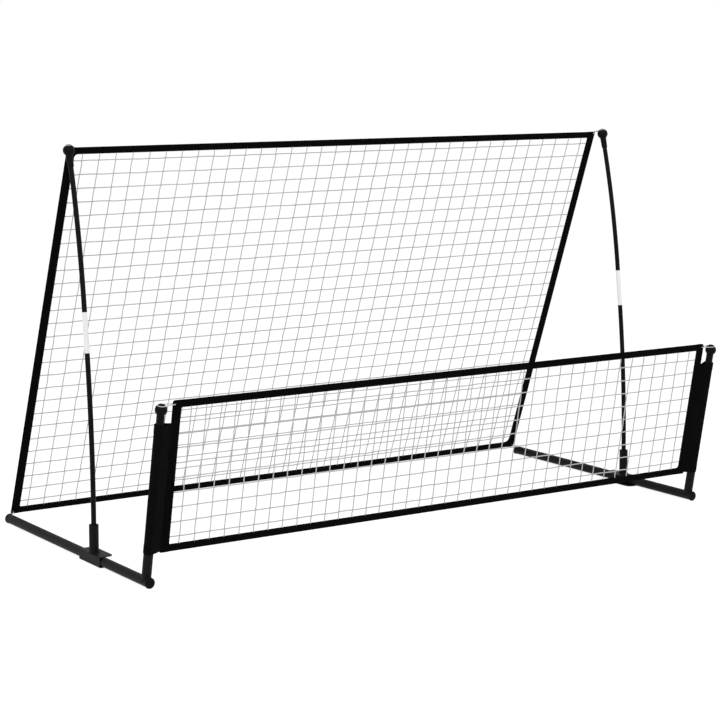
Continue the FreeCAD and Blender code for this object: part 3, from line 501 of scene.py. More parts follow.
class NetPlane:
    """A net's leaning plane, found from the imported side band.

    A point of the net is x across, up along the net from its foot, and out of the plane to
    the back. The lean is found by turns: the band's depth is H sin a + t cos a and its height
    is H cos a + t sin a, with t the band's thickness.
    """

    def __init__(self, net):
        self.thickness = thickness = settings()[0].band_thickness
        low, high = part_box(f"{net}_net_left_band")
        depth, height = high.y - low.y, high.z - low.z
        lean = math.atan2(depth, height)
        for _ in range(20):
            lean = math.atan2(depth - thickness * math.cos(lean),
                              height - thickness * math.sin(lean))
        self.sine, self.cosine = math.sin(lean), math.cos(lean)
        self.upward = np.array([0.0, -self.sine, self.cosine])
        self.outward = np.array([0.0, self.cosine, self.sine])
        self.foot_y = high.y - thickness / 2 * self.cosine
        self.foot_z = low.z + thickness / 2 * self.sine
        self.height = (depth - thickness * self.cosine) / self.sine
        self.half_width = -low.x
        self.band_width = high.x - low.x
        level_low, level_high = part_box(f"{net}_net_top_band")
        self.level_width = (level_high.z - level_low.z - thickness * self.sine) / self.cosine
        mesh = frame["nodes"][f"{net}_netting"].data
        places = np.zeros(len(mesh.vertices) * 3, np.float32)
        mesh.vertices.foreach_get("co", places)
        x, y, z = places.reshape(-1, 3).astype(float).T
        inside = np.abs(x) < np.abs(x).max() - 0.0005
        up = (z - self.foot_z) * self.cosine - (y - self.foot_y) * self.sine
        self.columns, self.rows = self.middles(x[inside]), self.middles(up[inside])

    @staticmethod
    def middles(values):
        """Middle of each twine, from the sorted edges of the openings beside it."""
        values = np.sort(values)
        first = np.flatnonzero(np.concatenate([[True], np.diff(values) > 0.0006]))
        edges = np.add.reduceat(values, first) / np.diff(np.append(first, len(values)))
        return (edges[1:-1:2] + edges[2:-1:2]) / 2

    def at(self, x, up, out):
        """Places in the object's frame for arrays of x, up and out."""
        x, up, out = np.broadcast_arrays(x, up, out)
        return np.stack([x, self.foot_y + out * self.cosine - up * self.sine,
                         self.foot_z + out * self.sine + up * self.cosine], axis=-1)

    def eyelet(self, sign):
        """The x of the cord holes on one side."""
        return sign * (self.half_width - EYELET_INSET)


# Netting

# Length of a twine's end inside its band, the two layers' distance from the net's middle in
# twine radii, points round a twine, half depth of a knot in twine thicknesses, its points
# round and heights in degrees, and places between two knots
TWINE_HIDDEN = 0.001
LAYER_OFFSET = 0.3
TWINE_POINTS = 6
KNOT_DEPTH = 0.68
KNOT_SHAPE = (8, (-48.0, 0.0, 48.0))
INNER_PLACES = 2
UPRIGHT_SEED, LEVEL_SEED = 100, 900


def strayed(spans, size, seed):
    """Small sideways offsets along a twine, zero at its knots.

    Between two knots the offset is a half sine wave with a random size for each span.
    """
    random = np.random.default_rng(seed)
    share = np.arange(INNER_PLACES + 1) / (INNER_PLACES + 1)
    return np.append(random.normal(0.0, size, (spans, 1)) * np.sin(np.pi * share), 0.0)


def twine_steps(middles, low, high):
    """Distances along a twine: its two ends, its knots and a few places between them."""
    stops = np.concatenate([[low], middles, [high]])
    share = np.arange(INNER_PLACES + 1) / (INNER_PLACES + 1)
    return np.append(stops[:-1, None] + np.diff(stops)[:, None] * share, high)


def lumps(middles, axes, sizes, ring, heights):
    """Many small ellipsoids: middle + a cos t cos p e1 + b cos t sin p e2 + c sin t e3.

    axes holds e1, e2 and e3 for each, and sizes a, b and c. p takes equal angles round a ring
    and t the given heights, with a point at each end.
    """
    turn, tilt = equal_angles(ring), np.radians(heights)
    shell = np.stack([np.outer(np.cos(tilt), np.cos(turn)), np.outer(np.cos(tilt), np.sin(turn)),
                      np.outer(np.sin(tilt), np.ones(ring))], axis=-1).reshape(-1, 3)
    lump = np.concatenate([shell, [[0.0, 0.0, -1.0], [0.0, 0.0, 1.0]]]) * np.asarray(sizes)
    index = np.arange(len(tilt) * ring).reshape(len(tilt), ring)
    following = np.roll(index, -1, axis=1)
    ends = np.concatenate([
        np.stack([following[0], index[0], np.full(ring, len(shell))], -1),
        np.stack([index[-1], following[-1], np.full(ring, len(shell) + 1)], -1)])
    places = middles[:, None] + lump @ axes
    shift = (np.arange(len(middles)) * len(lump))[:, None, None]
    faces = [(face + shift).reshape(-1, face.shape[1]) for face in (walls_between(index), ends)]
    return places.reshape(-1, 3), faces, [np.zeros((*face.shape, 2)) for face in faces]


def make_netting(net):
    """All the twines and knots of one net.

    Uprights and levels lie a little to the front and to the back, and each strays a little
    between its knots.
    """
    values, plane = settings()[0], NetPlane(net)
    radius = values.twine / 2
    side = plane.half_width - plane.band_width + TWINE_HIDDEN
    low = plane.level_width - TWINE_HIDDEN
    high = plane.height - plane.level_width + TWINE_HIDDEN
    up = twine_steps(plane.rows, low, high)
    across = twine_steps(plane.columns, -side, side)
    columns, rows = len(plane.columns), len(plane.rows)
    wander_x = np.stack([strayed(rows + 1, values.sag, UPRIGHT_SEED + k) for k in range(columns)])
    wander_up = np.stack([strayed(columns + 1, values.sag, LEVEL_SEED + k) for k in range(rows)])
    uprights = plane.at(plane.columns[:, None] + wander_x, up[None, :], -LAYER_OFFSET * radius)
    levels = plane.at(across[None, :], plane.rows[:, None] + wander_up, LAYER_OFFSET * radius)
    x, rise = (a.ravel() for a in np.meshgrid(plane.columns, plane.rows))
    axes = np.stack([X_AXIS, plane.upward, plane.outward])
    knot = (values.knot / 2, values.knot / 2, values.twine * KNOT_DEPTH)
    skin = joined(
        tubes(uprights, X_AXIS, plane.outward, radius, TWINE_POINTS, up),
        tubes(levels, plane.outward, plane.upward, radius, TWINE_POINTS, across),
        lumps(plane.at(x, rise, 0.0), axes, knot, *KNOT_SHAPE))
    new_piece(f"{net}_net_mesh", skin, "net_twine", "root", [f"{net}_netting"])


# Edge bands

# Outer and inner corner radii of each net, by end and side
CORNER_RADII = {
    "back": {("top", "left"): (0.003, 0.009), ("top", "right"): (0.003, 0.003),
             ("bottom", "left"): (0.003, 0.004), ("bottom", "right"): (0.005, 0.016)},
    "front": {("top", "left"): (0.005, 0.002), ("top", "right"): (0.008, 0.003),
              ("bottom", "left"): (0.003, 0.002), ("bottom", "right"): (0.004, 0.008)},
}

# Distance of a line of stitches from the webbing's edge, depth of the valley it draws as a
# share of the half thickness, and the valley's half width
STITCH_INSET = 0.0036
VALLEY_DEPTH, VALLEY_WIDTH = 0.2, 0.0008

# Thickness of a level band to a side band's, its length inside a side band, pitch of the steps
# along a band, length with closer steps at each end, and (size, length) of the slow waves
LEVEL_THINNER = 0.9
BAND_TUCK = 0.012
BAND_PITCH = 0.012
BAND_DENSE = 0.020
BAND_WAVES = ((0.0003, 0.047), (0.0002, 0.0713))

# Stitch size across and out of the webbing, its share of the stitch's pitch, its points round
# and heights in degrees, how high it lies in the webbing's half thickness, and the end of a
# line from the net's corner. Then a corner bar's pitch, half length, inset and lines
STITCH_SIZE = (0.0004, 0.00042)
STITCH_SHARE = 0.38
STITCH_SHAPE = (5, (-35.0, 35.0))
STITCH_FACE = 0.78
STITCH_MARGIN = 0.004
BAR_PITCH = 0.0016
BAR_HALF = 0.0065
BAR_MARGIN = 0.0055
BAR_LINES = 6


def band_section(thickness, width):
    """Section of webbing folded over the net's edge, as (across, out) points.

    Across runs from the fold at 0 to the open edge at the band's width. The half thickness is
    a round nose at the fold, flat along the band, a shallow valley at each line of stitches
    and a thinner end at the open edge.
    """
    across = np.array([0.0, 0.0003, 0.0009, 0.0016, 0.0026, STITCH_INSET, 0.0046, 0.0068,
                       0.5 * width, width - 0.0068, width - 0.0046, width - STITCH_INSET,
                       width - 0.0026, width - 0.0014, width - 0.0005, width])
    nose = np.sqrt(1.0 - (1.0 - np.clip(across / (0.5 * thickness), 0.0, 1.0)) ** 2)
    valley = sum(VALLEY_DEPTH * np.exp(-((across - line) / VALLEY_WIDTH) ** 2)
                 for line in (STITCH_INSET, width - STITCH_INSET))
    end = np.sqrt(np.clip((width - across) / 0.0010, 0.0, 1.0))
    half = 0.5 * thickness * nose * (0.97 - valley) * (0.8 + 0.2 * end)
    front = np.stack([across[1:], -half[1:]], axis=-1)
    back = np.stack([across[1:], half[1:]], axis=-1)[::-1]
    return np.concatenate([[[0.0, 0.0]], front, back])


def rounding(distance, radius):
    """How far a quarter circle of this radius stands in, at a distance from its corner."""
    inside = np.clip(radius - distance, 0.0, radius)
    return radius - np.sqrt(radius ** 2 - inside ** 2)


def spaced(length, pitch, dense):
    """Steps along a band: even ones, with closer ones within a distance of both ends."""
    middle = np.linspace(dense, length - dense, round((length - 2 * dense) / pitch) + 1)
    end = dense * np.linspace(0.0, 1.0, 11)[:-1] ** 1.5
    return np.concatenate([end, middle, (length - end)[::-1]])


def band_skin(plane, along, start, turn, fold, width, trims, share_thick=1.0):
    """One edge band: the folded section carried along a straight run in the net's plane.

    start is the (x, up) of the run's first end on the fold, turn the direction of the run and
    fold the direction from the fold to the open edge. trims are how far the fold and the open
    edge move in at every step, for the corners. Two slow sine waves along the run push the
    middle of the webbing a little out of the plane.
    """
    section = band_section(plane.thickness * share_thick, width)
    share = section[None, :, 0] / width
    fold_trim, open_trim = trims
    reach = section[None, :, 0] + (1.0 - share) * fold_trim[:, None] + share * open_trim[:, None]
    ripple = sum(size * np.sin(along * TURN / length) for size, length in BAND_WAVES)
    grid = plane.at(start[0] + turn[0] * along[:, None] + fold[0] * reach,
                    start[1] + turn[1] * along[:, None] + fold[1] * reach,
                    section[None, :, 1] + ripple[:, None] * share * (1.0 - share))
    return loft(grid, distances(section, True), along)


def make_band(name, *run):
    """Webbing of one packed band, by the run that band_skin takes."""
    new_piece(f"{name}_webbing", band_skin(*run), "edge_webbing", "root", [f"{name}_band"])


def make_bands(net):
    """Two side bands over the full height and two thinner level bands between them.

    The level bands run on inside the side bands. Their open edges are filled out to the inner
    corner radii, and the side bands' folds are trimmed to the outer ones.
    """
    plane, radii = NetPlane(net), CORNER_RADII[net]
    along = spaced(plane.height, BAND_PITCH, BAND_DENSE)
    for side, sign in SIDES:
        trim = (rounding(along, radii["bottom", side][0])
                + rounding(plane.height - along, radii["top", side][0]))
        make_band(f"{net}_net_{side}", plane, along, (sign * plane.half_width, 0.0),
                  (0.0, 1.0), (-sign, 0.0), plane.band_width, (trim, 0.0 * along))
    half = plane.half_width - plane.band_width
    along = spaced(2 * (half + BAND_TUCK), BAND_PITCH, BAND_DENSE + BAND_TUCK)
    x = along - half - BAND_TUCK
    for end, sign, up in (("top", -1.0, plane.height), ("bottom", 1.0, 0.0)):
        grown = sum(rounding(np.clip(half - way * x, 0.0, None), radii[end, side][1])
                    for side, way in SIDES)
        make_band(f"{net}_net_{end}", plane, along, (-half - BAND_TUCK, up),
                  (1.0, 0.0), (0.0, sign), plane.level_width, (0.0 * x, grown), LEVEL_THINNER)


def stitch_run(plane, start, end, pitch, out):
    """Middles and directions of a straight line of stitches from (x, up) to (x, up)."""
    start, end = np.array(start), np.array(end)
    length = np.linalg.norm(end - start)
    count = max(2, round(length / pitch))
    share = (np.arange(count) + 0.5)[:, None] / count
    flat = start + (end - start) * share
    turn = (end - start) / length
    lengthwise = turn[0] * X_AXIS + turn[1] * plane.upward
    return plane.at(flat[:, 0], flat[:, 1], out), lengthwise


def make_stitches(net):
    """Two lines of stitches along every band and a bar of close ones at each corner.

    A stitch is a long flat ellipsoid half sunk in the webbing, on both faces.
    """
    plane, pitch = NetPlane(net), settings()[0].stitch
    face = 0.5 * plane.thickness * STITCH_FACE
    side, width = plane.half_width, plane.band_width
    level, height = plane.level_width, plane.height
    runs = []
    for _, sign in SIDES:
        for inset in (STITCH_INSET, width - STITCH_INSET):
            x = sign * (side - inset)
            runs.append(((x, STITCH_MARGIN), (x, height - STITCH_MARGIN), pitch))
        for rise in (level / 2, height - level / 2):
            for x in np.linspace(side - width + BAR_MARGIN, side - BAR_MARGIN, BAR_LINES):
                x *= sign
                runs.append(((x, rise - BAR_HALF), (x, rise + BAR_HALF), BAR_PITCH))
    for rise in (STITCH_INSET, level - STITCH_INSET,
                 height - STITCH_INSET, height - level + STITCH_INSET):
        runs.append(((-side + width, rise), (side - width, rise), pitch))
    skins = []
    for start, end, step in runs:
        for way in (-1.0, 1.0):
            middles, lengthwise = stitch_run(plane, start, end, step, way * face)
            out = plane.outward * way
            axes = np.stack([np.cross(lengthwise, out), out, lengthwise])
            sizes = (*STITCH_SIZE, STITCH_SHARE * step)
            skins.append(lumps(middles, axes, sizes, *STITCH_SHAPE))
    new_piece(f"{net}_net_stitches", joined(*skins), "edge_webbing", "root", finish="stitching")


# Sleeves

# Radius of the fold at the net's edge and how far it passes it, the belt line's steps,
# clearance of the cloth in the imported sleeve, how far a hem stands proud and its step, how far
# the top edge drops towards the net, and (size, length) of the waves with the length over which
# they die out
FOLD_RADIUS = 0.0021
FOLD_PAST = 0.0012
BELT_STEPS = (22, 9, 5)
CLOTH_CLEAR = 0.0002
HEM_PROUD, HEM_STEP = 0.0005, 0.0008
TOP_DROP = {"left": 0.0, "right": 0.0045}
SLEEVE_SEED = {"left": 31, "right": 47}
SLEEVE_WAVES = ((0.0009, 0.113), (0.0006, 0.061), (0.0003, 0.034))
WAVE_FADE = 0.05


def belt(far, ring, end, ring_steps, run_steps, end_steps):
    """Closed belt line round a circle at 0 and a small one at the distance far on +X.

    The straight runs are the circles' outer tangents, which leave them at the angle
    acos((ring - end) / far).
    """
    spread = math.acos((ring - end) / far)
    wrap = np.linspace(spread, TURN - spread, ring_steps)
    nose = np.linspace(-spread, spread, end_steps)
    round_ring = ring * np.stack([np.cos(wrap), np.sin(wrap)], axis=-1)
    round_end = np.array([far, 0.0]) + end * np.stack([np.cos(nose), np.sin(nose)], axis=-1)
    share = np.linspace(0.0, 1.0, run_steps + 2)[1:-1, None]
    return np.concatenate([
        round_ring, round_ring[-1] + (round_end[0] - round_ring[-1]) * share,
        round_end, round_end[-1] + (round_ring[0] - round_end[-1]) * share])


def make_sleeve(side, sign):
    """Cloth sleeve: a belt section round the post and the net's edge, carried up the post.

    Its wall is one cloth thick, with turned hems at both ends that stand a little proud. The
    two flat plies wave gently, by sines up the sleeve that grow from the post to the net and
    die out at the hems. The right sleeve's top edge drops towards the net.
    """
    values, plane = settings()[1], NetPlane("front")
    low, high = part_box(f"{side}_post_sleeve")
    axis_x = middle_across(f"{side}_post_rod")
    reach = abs(axis_x) - plane.half_width
    post = high.x - low.x - reach
    start = (low.z - plane.foot_z + post * plane.sine) / plane.cosine
    end = (high.z - plane.foot_z - post * plane.sine) / plane.cosine
    cloth, hem, tall = values.cloth, values.hem, end - start
    fold, ring = reach - FOLD_RADIUS + FOLD_PAST, post - CLOTH_CLEAR
    outer = belt(fold, ring, FOLD_RADIUS, *BELT_STEPS)
    inner = belt(fold, ring - cloth, FOLD_RADIUS - cloth, *BELT_STEPS)
    rise = np.concatenate([np.linspace(0.0, hem, 5),
                           np.linspace(hem + HEM_STEP, tall - hem - HEM_STEP, 34),
                           np.linspace(tall - hem, tall, 5)])
    near_end = np.minimum(rise, tall - rise)
    fade = np.clip(near_end / WAVE_FADE, 0.0, 1.0)[:, None]
    proud = HEM_PROUD * (near_end <= hem + 1e-9)[:, None, None]
    grow = np.clip((outer[:, 0] - 0.2 * post) / reach, 0.0, 1.0)[None, :]
    random = np.random.default_rng(SLEEVE_SEED[side])
    waves = sum(size * np.sin(TURN * rise / length + random.uniform(0.0, 6.3))
                for size, length in SLEEVE_WAVES)[:, None]
    push = waves * grow * fade
    away = unit(outer - np.array([0.35 * reach, 0.0]))
    drop = TOP_DROP[side] * np.clip(outer[:, 0] / reach, 0.0, 1.0)
    lift = start + rise[:, None] - (rise[:, None] / tall) * drop
    layers = []
    for line, layer in ((outer, 1.0), (inner, 0.0)):
        flat = line[None] + layer * proud * away[None]
        layers.append(plane.at(axis_x - sign * flat[:, :, 0], lift, flat[:, :, 1] + push))
    grid = np.concatenate([layers[0], layers[1][::-1]])
    around = distances(outer, True)
    skin = loft(grid, around, np.concatenate([rise, rise[::-1], rise[:1]]), ring_shaped=True)
    piece = new_piece(f"{side}_sleeve", skin, "sleeve_cloth", "root", [f"{side}_post_sleeve"])


# Cords

# Lean of the pole caps, (y, z) of their balls' middles, groove above them, radius of a cord
# round a cap of either kind, and of its bend at the net
CAP_LEAN = math.radians(14.5)
POLE_BALL = (0.0404566, 1.0751455)
GROOVE_RISE = 0.0113
CORD_RING = 0.0093931
LOOP_END = 0.003
POLE_LOOP_STEPS, POST_LOOP_STEPS = (40, 10, 14), (40, 18, 14)

# Cord holes from the net's edge and ends, and up the low net, how far a loop and a bend stand
# off the webbing, the hole in the base tube and the tube's top
EYELET_INSET = 0.007
EYELET_DROP = 0.006
FRONT_EYELET_UP = 0.3948264
LOOP_STAND_OFF = 0.0115
BEND_STAND_OFF = 0.004
TAIL_HOLE_Y = 0.4413
TUBE_TOP = 0.0269

# A knot's radius, turns and length, its clearance and lead behind the net, its loose end and
# that end's droop, the tail cord's end in the base tube, and the bound rim of a cord hole
KNOT_COIL, KNOT_TURNS, KNOT_LENGTH = 0.0017, 2.3, 0.0058
KNOT_CLEAR = 0.0002
KNOT_LEAD = 0.0004
LOOSE_END, LOOSE_DROOP = 0.007, 0.0025
TAIL_KNOT_DROP = 0.0045
RIM_RADIUS, RIM_CORD, RIM_STEPS, RIM_POINTS = 0.0031, 0.0006, 28, 8
RIM_FACE = 0.95


def stopper(start, end):
    """Line of a cord end: straight from start to end, then wound on itself, then a loose end.

    The winding is end + s d + r (cos a e1 + sin a e2) with s and a growing together, and r
    swelling from 0 and back to 0 by a half sine.
    """
    start, end = np.asarray(start), np.asarray(end)
    ahead = unit(end - start)
    first = unit(np.cross(ahead, X_AXIS))
    second = np.cross(ahead, first)
    share = np.linspace(0.0, 1.0, 40)[:, None]
    angle = TURN * KNOT_TURNS * share
    swell = KNOT_COIL * np.clip(np.sin(np.pi * share) * 2.2, 0.0, 1.0)
    circle = np.cos(angle) * first + np.sin(angle) * second
    wound = end + ahead * (KNOT_LENGTH * share) + swell * circle
    straight_run = start + (end - start) * np.linspace(0.0, 1.0, 6)[:-1, None]
    along = np.linspace(0.1, 1.0, 5)[:, None]
    droop = np.array([0.0, 0.0, LOOSE_DROOP]) * along ** 2
    return np.concatenate([straight_run, wound, wound[-1] + ahead * LOOSE_END * along - droop])


def knotted(plane, x, up, route, count):
    """Where a cord leaves a hole of the net, and its line along a route and through to a knot."""
    bend = plane.at(x, up, -plane.thickness / 2 - BEND_STAND_OFF)
    through = plane.at(x, up, plane.thickness / 2 + KNOT_CLEAR)
    lead = soft_line([*route, bend, through], count)[:-1]
    return through, np.concatenate([lead, stopper(through, through + plane.outward * KNOT_LEAD)])


def make_pole_cord(side, sign):
    """Loop in the pole cap's groove, and its two ends through the net's corner to a knot.

    The loop lies square to the cap's axis, headed from the cap to the hole in the net.
    """
    radius, plane = settings()[1].cord / 2, NetPlane("back")
    axis = np.array([0.0, math.sin(CAP_LEAN), math.cos(CAP_LEAN)])
    second = np.array([0.0, math.cos(CAP_LEAN), -math.sin(CAP_LEAN)])
    hub = np.array([middle_across(f"{side}_pole_cap"), *POLE_BALL]) + axis * GROOVE_RISE
    x, up = plane.eyelet(sign), plane.height - EYELET_DROP
    front = plane.at(x, up, -plane.thickness / 2 - LOOP_STAND_OFF)
    flat = np.array([front[0] - hub[0], (front - hub) @ second])
    far = np.linalg.norm(flat)
    ahead = (flat[0] * X_AXIS + flat[1] * second) / far
    aside = (flat[0] * second - flat[1] * X_AXIS) / far
    line = belt(far, CORD_RING, LOOP_END, *POLE_LOOP_STEPS)
    loop = hub + line[:, :1] * ahead + line[:, 1:] * aside
    through, stem = knotted(plane, x, up, [hub + (far + LOOP_END) * ahead], 6)
    skin = joined(cord_skin(loop, radius, closed=True), cord_skin(stem, radius))
    piece = new_piece(f"{side}_pole_cord", skin, "elastic_cord", None, [f"{side}_pole_tie"])
    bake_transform(piece)


def make_post_cord(side, sign):
    """Loop round the front cap's groove that passes through the low net's corner."""
    radius, plane = settings()[1].cord / 2, NetPlane("front")
    axis_x = middle_across(f"{side}_post_rod")
    far = abs(axis_x) - plane.half_width + EYELET_INSET - LOOP_END
    line = belt(far, CORD_RING, LOOP_END, *POST_LOOP_STEPS)
    loop = plane.at(axis_x - sign * line[:, 0], FRONT_EYELET_UP, line[:, 1])
    skin = cord_skin(loop, radius, closed=True)
    piece = new_piece(f"{side}_post_cord", skin, "elastic_cord", None, [f"{side}_post_tie"])
    tuple(plane.at(axis_x - sign * far, FRONT_EYELET_UP, 0.0))
    tuple(plane.at(axis_x - sign * 0.3 * far, FRONT_EYELET_UP, 0.0))
    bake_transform(piece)


def make_tail_cord(side, sign):
    """Cord from a knot behind the tall net's foot into the hole in the base tube."""
    radius, plane = settings()[1].cord / 2, NetPlane("back")
    axis_x = middle_across(f"{side}_base_tube")
    inside, above = (np.array([axis_x, TAIL_HOLE_Y, TUBE_TOP + rise])
                     for rise in (-TAIL_KNOT_DROP, BEND_STAND_OFF))
    line = knotted(plane, plane.eyelet(sign), EYELET_DROP, [inside, above], 12)[1]
    new_piece(f"{side}_tail_cord", cord_skin(line, radius), "elastic_cord", "root",
              [f"{side}_tail_tie"])


def make_eyelets(net):
    """Bound rims round the cord holes of the side bands, on both faces.

    A rim is a ring of small round section: middle + (R + r cos b) (cos a, sin a) + r sin b.
    """
    plane = NetPlane(net)
    rises = [FRONT_EYELET_UP] if net == "front" else [EYELET_DROP, plane.height - EYELET_DROP]
    turn = equal_angles(RIM_STEPS)
    skins = []
    for (_, sign), rise, way in itertools.product(SIDES, rises, (-1.0, 1.0)):
        ring = plane.at(plane.eyelet(sign) + RIM_RADIUS * np.cos(turn),
                        rise + RIM_RADIUS * np.sin(turn), way * RIM_FACE * plane.thickness / 2)
        skins.append(cord_skin(ring, RIM_CORD, closed=True, ring=RIM_POINTS))
    new_piece(f"{net}_net_eyelets", joined(*skins), "edge_webbing", "root", finish="stitching")


# Weld beads

# Radius of the leaning lower post, steps of a bead, its ripple, each bead's (radius, waves),
# and how far the beads stand off the socket and the post
STUB_RADIUS = 0.0125
BEAD_STEPS = 120
BEAD_RIPPLE = 0.10
SOCKET_BEAD = (0.0019, 30)
POST_BEAD = (0.0017, 34)
SOCKET_OFF, POST_OFF = 0.0003, 0.0002


def bead(line, radius, waves):
    """Bead along a closed line: a cord whose radius ripples as the weld was laid."""
    points, faces, uvs = cord_skin(line, radius, closed=True)
    middles = np.repeat(line, CORD_POINTS, axis=0)
    step = np.repeat(np.arange(len(line)), CORD_POINTS)
    swell = 1.0 + BEAD_RIPPLE * np.sin(step * TURN * waves / len(line))
    return middles + (points - middles) * swell[:, None], faces, uvs


def make_welds(side):
    """Fillet beads at the foot of the pole socket and where the post meets the base tube.

    The second line lies on both cylinders: x = r cos a on the post, and the height on the
    tube is sqrt(R^2 - x^2).
    """
    turn = equal_angles(BEAD_STEPS)
    low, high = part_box(f"{side}_pole_socket")
    middle, foot = (low + high) / 2, low.z
    socket = (high.x - low.x) / 2 + SOCKET_OFF
    ring = np.stack([middle.x + socket * np.cos(turn), middle.y + socket * np.sin(turn),
                     np.full(BEAD_STEPS, foot + SOCKET_OFF)], axis=-1)
    tube_low, tube_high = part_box(f"{side}_base_tube")
    tube = (tube_high.x - tube_low.x) / 2
    axis_x, axis_z = (tube_low.x + tube_high.x) / 2, (tube_low.z + tube_high.z) / 2
    plane = NetPlane("front")
    post = STUB_RADIUS + POST_OFF
    x, out = post * np.cos(turn), post * np.sin(turn)
    height = np.sqrt(tube ** 2 - np.minimum(np.abs(x), tube * 0.999) ** 2)
    up = (axis_z + height - plane.foot_z - out * plane.sine) / plane.cosine
    saddle = plane.at(axis_x + x, up, out)
    skin = joined(bead(ring, *SOCKET_BEAD), bead(saddle, *POST_BEAD))
    new_piece(f"{side}_weld_beads", skin, "powder_coat", "root")


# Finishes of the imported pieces

BUILDERS = {
    "powder_coat": lambda colours: powder_coat(colours.coat),
    "pole_coating": lambda colours: pole_coating(colours.pole),
    "moulded_plastic": lambda colours: moulded_plastic(colours.plastic),
    "bare_ferrule": lambda colours: drawn_metal(colours.metal),
    "edge_webbing": lambda colours: woven(colours.webbing, 0.0013, 0.0009, 2600.0, 0.00012),
    "sleeve_cloth": lambda colours: woven(colours.sleeve, 0.0007, 0.0007, 3200.0, 0.00006),
    "stitching": lambda colours: twisted(scaled(colours.webbing, 1.6), 0.0012, 3.0, 0.00005),
    "net_twine": lambda colours: twisted(colours.twine, 0.0045, 3.0, 0.0002),
    "elastic_cord": lambda colours: braided(colours.elastic, 0.0032, 6.0, 0.00012),
}


def finish_of(slot):
    """The finish of a slot, made the first time it is asked for."""
    name = f"{slot}_finish"
    material = bpy.data.materials.get(name) or BUILDERS[slot](settings()[2])
    material.name = name
    return material


def paint_nodes():
    """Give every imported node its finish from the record's slots."""
    for part in frame["record"]["subparts"]:
        node = frame["nodes"][part["node"]]
        material = finish_of(part["material_slot"])
        for slot in node.material_slots:
            slot.material = material


# Stage

# The floor as the camera and reflections see it: a gray that takes the shadow, and a glow
FLOOR_SHADE = 0.26
FLOOR_GLOW = 0.88
FLOOR_REACH, FLOOR_DEPTH = 40.0, -0.0002
LAMP_TARGET = (0.0, 0.0, 0.45)
KEY_PLACE, KEY_SIZE = (-3.4, -3.6, 5.2), 3.2
FILL_PLACE, FILL_SIZE = (4.6, -2.4, 3.4), 3.0


def seen_directly(tree):
    """Socket that is 1 for camera, glossy and transmission rays, and 0 for all others."""
    rays = new_node(tree, "LightPath").outputs
    seen = rays["Is Camera Ray"]
    for ray in ("Is Glossy Ray", "Is Transmission Ray"):
        seen = new_node(tree, "Math", seen, rays[ray], operation="MAXIMUM").outputs[0]
    return seen


def floor_material(colour):
    """Pale floor that looks near white in the picture and in reflections, shadow kept.

    For other rays it is a plain diffuse floor of its own colour.
    """
    material = bpy.data.materials.new("floor")
    material.use_nodes = True
    tree = material.node_tree
    tree.nodes.clear()
    plain = new_node(tree, "BsdfDiffuse", Color=(*colour, 1.0)).outputs[0]
    shade = new_node(tree, "BsdfDiffuse", Color=(*[FLOOR_SHADE] * 3, 1.0)).outputs[0]
    glow = new_node(tree, "Emission", Strength=FLOOR_GLOW).outputs[0]
    bright = new_node(tree, "AddShader", shade, glow).outputs[0]
    mix = new_node(tree, "MixShader", seen_directly(tree), plain, bright)
    new_node(tree, "OutputMaterial", mix.outputs[0])
    return material


def make_world(sky):
    """Even light from all round, and plain white where the camera or a reflection sees it."""
    world = bpy.data.worlds.new("studio")
    bpy.context.scene.world = world
    world.use_nodes = True
    tree = world.node_tree
    background = tree.nodes["Background"]
    background.inputs["Color"].default_value = (1.0, 1.0, 1.0, 1.0)
    level = new_node(tree, "MapRange", seen_directly(tree), To_Min=sky, To_Max=1.0)
    tree.links.new(level.outputs["Result"], background.inputs["Strength"])


def looking(along):
    """Turn of a lamp or camera that looks along a vector."""
    return along.to_track_quat("-Z", "Y").to_euler()


def make_lamp(name, place, size, power):
    """Large square lamp turned to the object's middle."""
    light = bpy.data.lights.new(name, "AREA")
    light.energy, light.size = power, size
    lamp = bpy.data.objects.new(name, light)
    bpy.context.scene.collection.objects.link(lamp)
    lamp.location = place
    lamp.rotation_euler = looking(Vector(LAMP_TARGET) - Vector(place))


def make_floor(colour):
    """Large flat square just under the object."""
    mesh = bpy.data.meshes.new("floor")
    corners = ((-1, -1), (1, -1), (1, 1), (-1, 1))
    mesh.from_pydata([(FLOOR_REACH * x, FLOOR_REACH * y, FLOOR_DEPTH) for x, y in corners],
                     [], [(0, 1, 2, 3)])
    floor = bpy.data.objects.new("floor", mesh)
    mesh.materials.append(floor_material(colour))
    bpy.context.scene.collection.objects.link(floor)


def make_camera(values):
    """Camera at its place, turned by its azimuth and pitch."""
    lens = bpy.data.cameras.new("camera")
    lens.sensor_width, lens.lens = 36.0, values.camera_lens
    lens.shift_y, lens.clip_end = values.camera_shift, 200.0
    camera = bpy.data.objects.new("camera", lens)
    turn, pitch = values.camera_azimuth, values.camera_pitch
    back = Vector((math.sin(turn) * math.cos(pitch), -math.cos(turn) * math.cos(pitch),
                   math.sin(pitch)))
    camera.location = values.camera_place
    camera.rotation_euler = looking(-back)
    bpy.context.scene.collection.objects.link(camera)
    bpy.context.scene.camera = camera


def make_stage():
    """Floor, world, lamps and camera."""
    values = settings()[3]
    make_floor(values.floor)
    make_world(values.sky)
    make_lamp("key_lamp", KEY_PLACE, KEY_SIZE, values.key_power)
    make_lamp("fill_lamp", FILL_PLACE, FILL_SIZE, values.fill_power)
    make_camera(values)
    bpy.context.scene.view_settings.view_transform = "Standard"


# Operators, one for each group of like pieces

class REBOUNDER_OT_finishes(bpy.types.Operator):
    """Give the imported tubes, brackets, poles, ferrules, caps and plugs their finishes"""
    bl_idname = "rebounder.finishes"
    bl_label = "Finishes"

    def execute(self, context):
        paint_nodes()
        return {"FINISHED"}


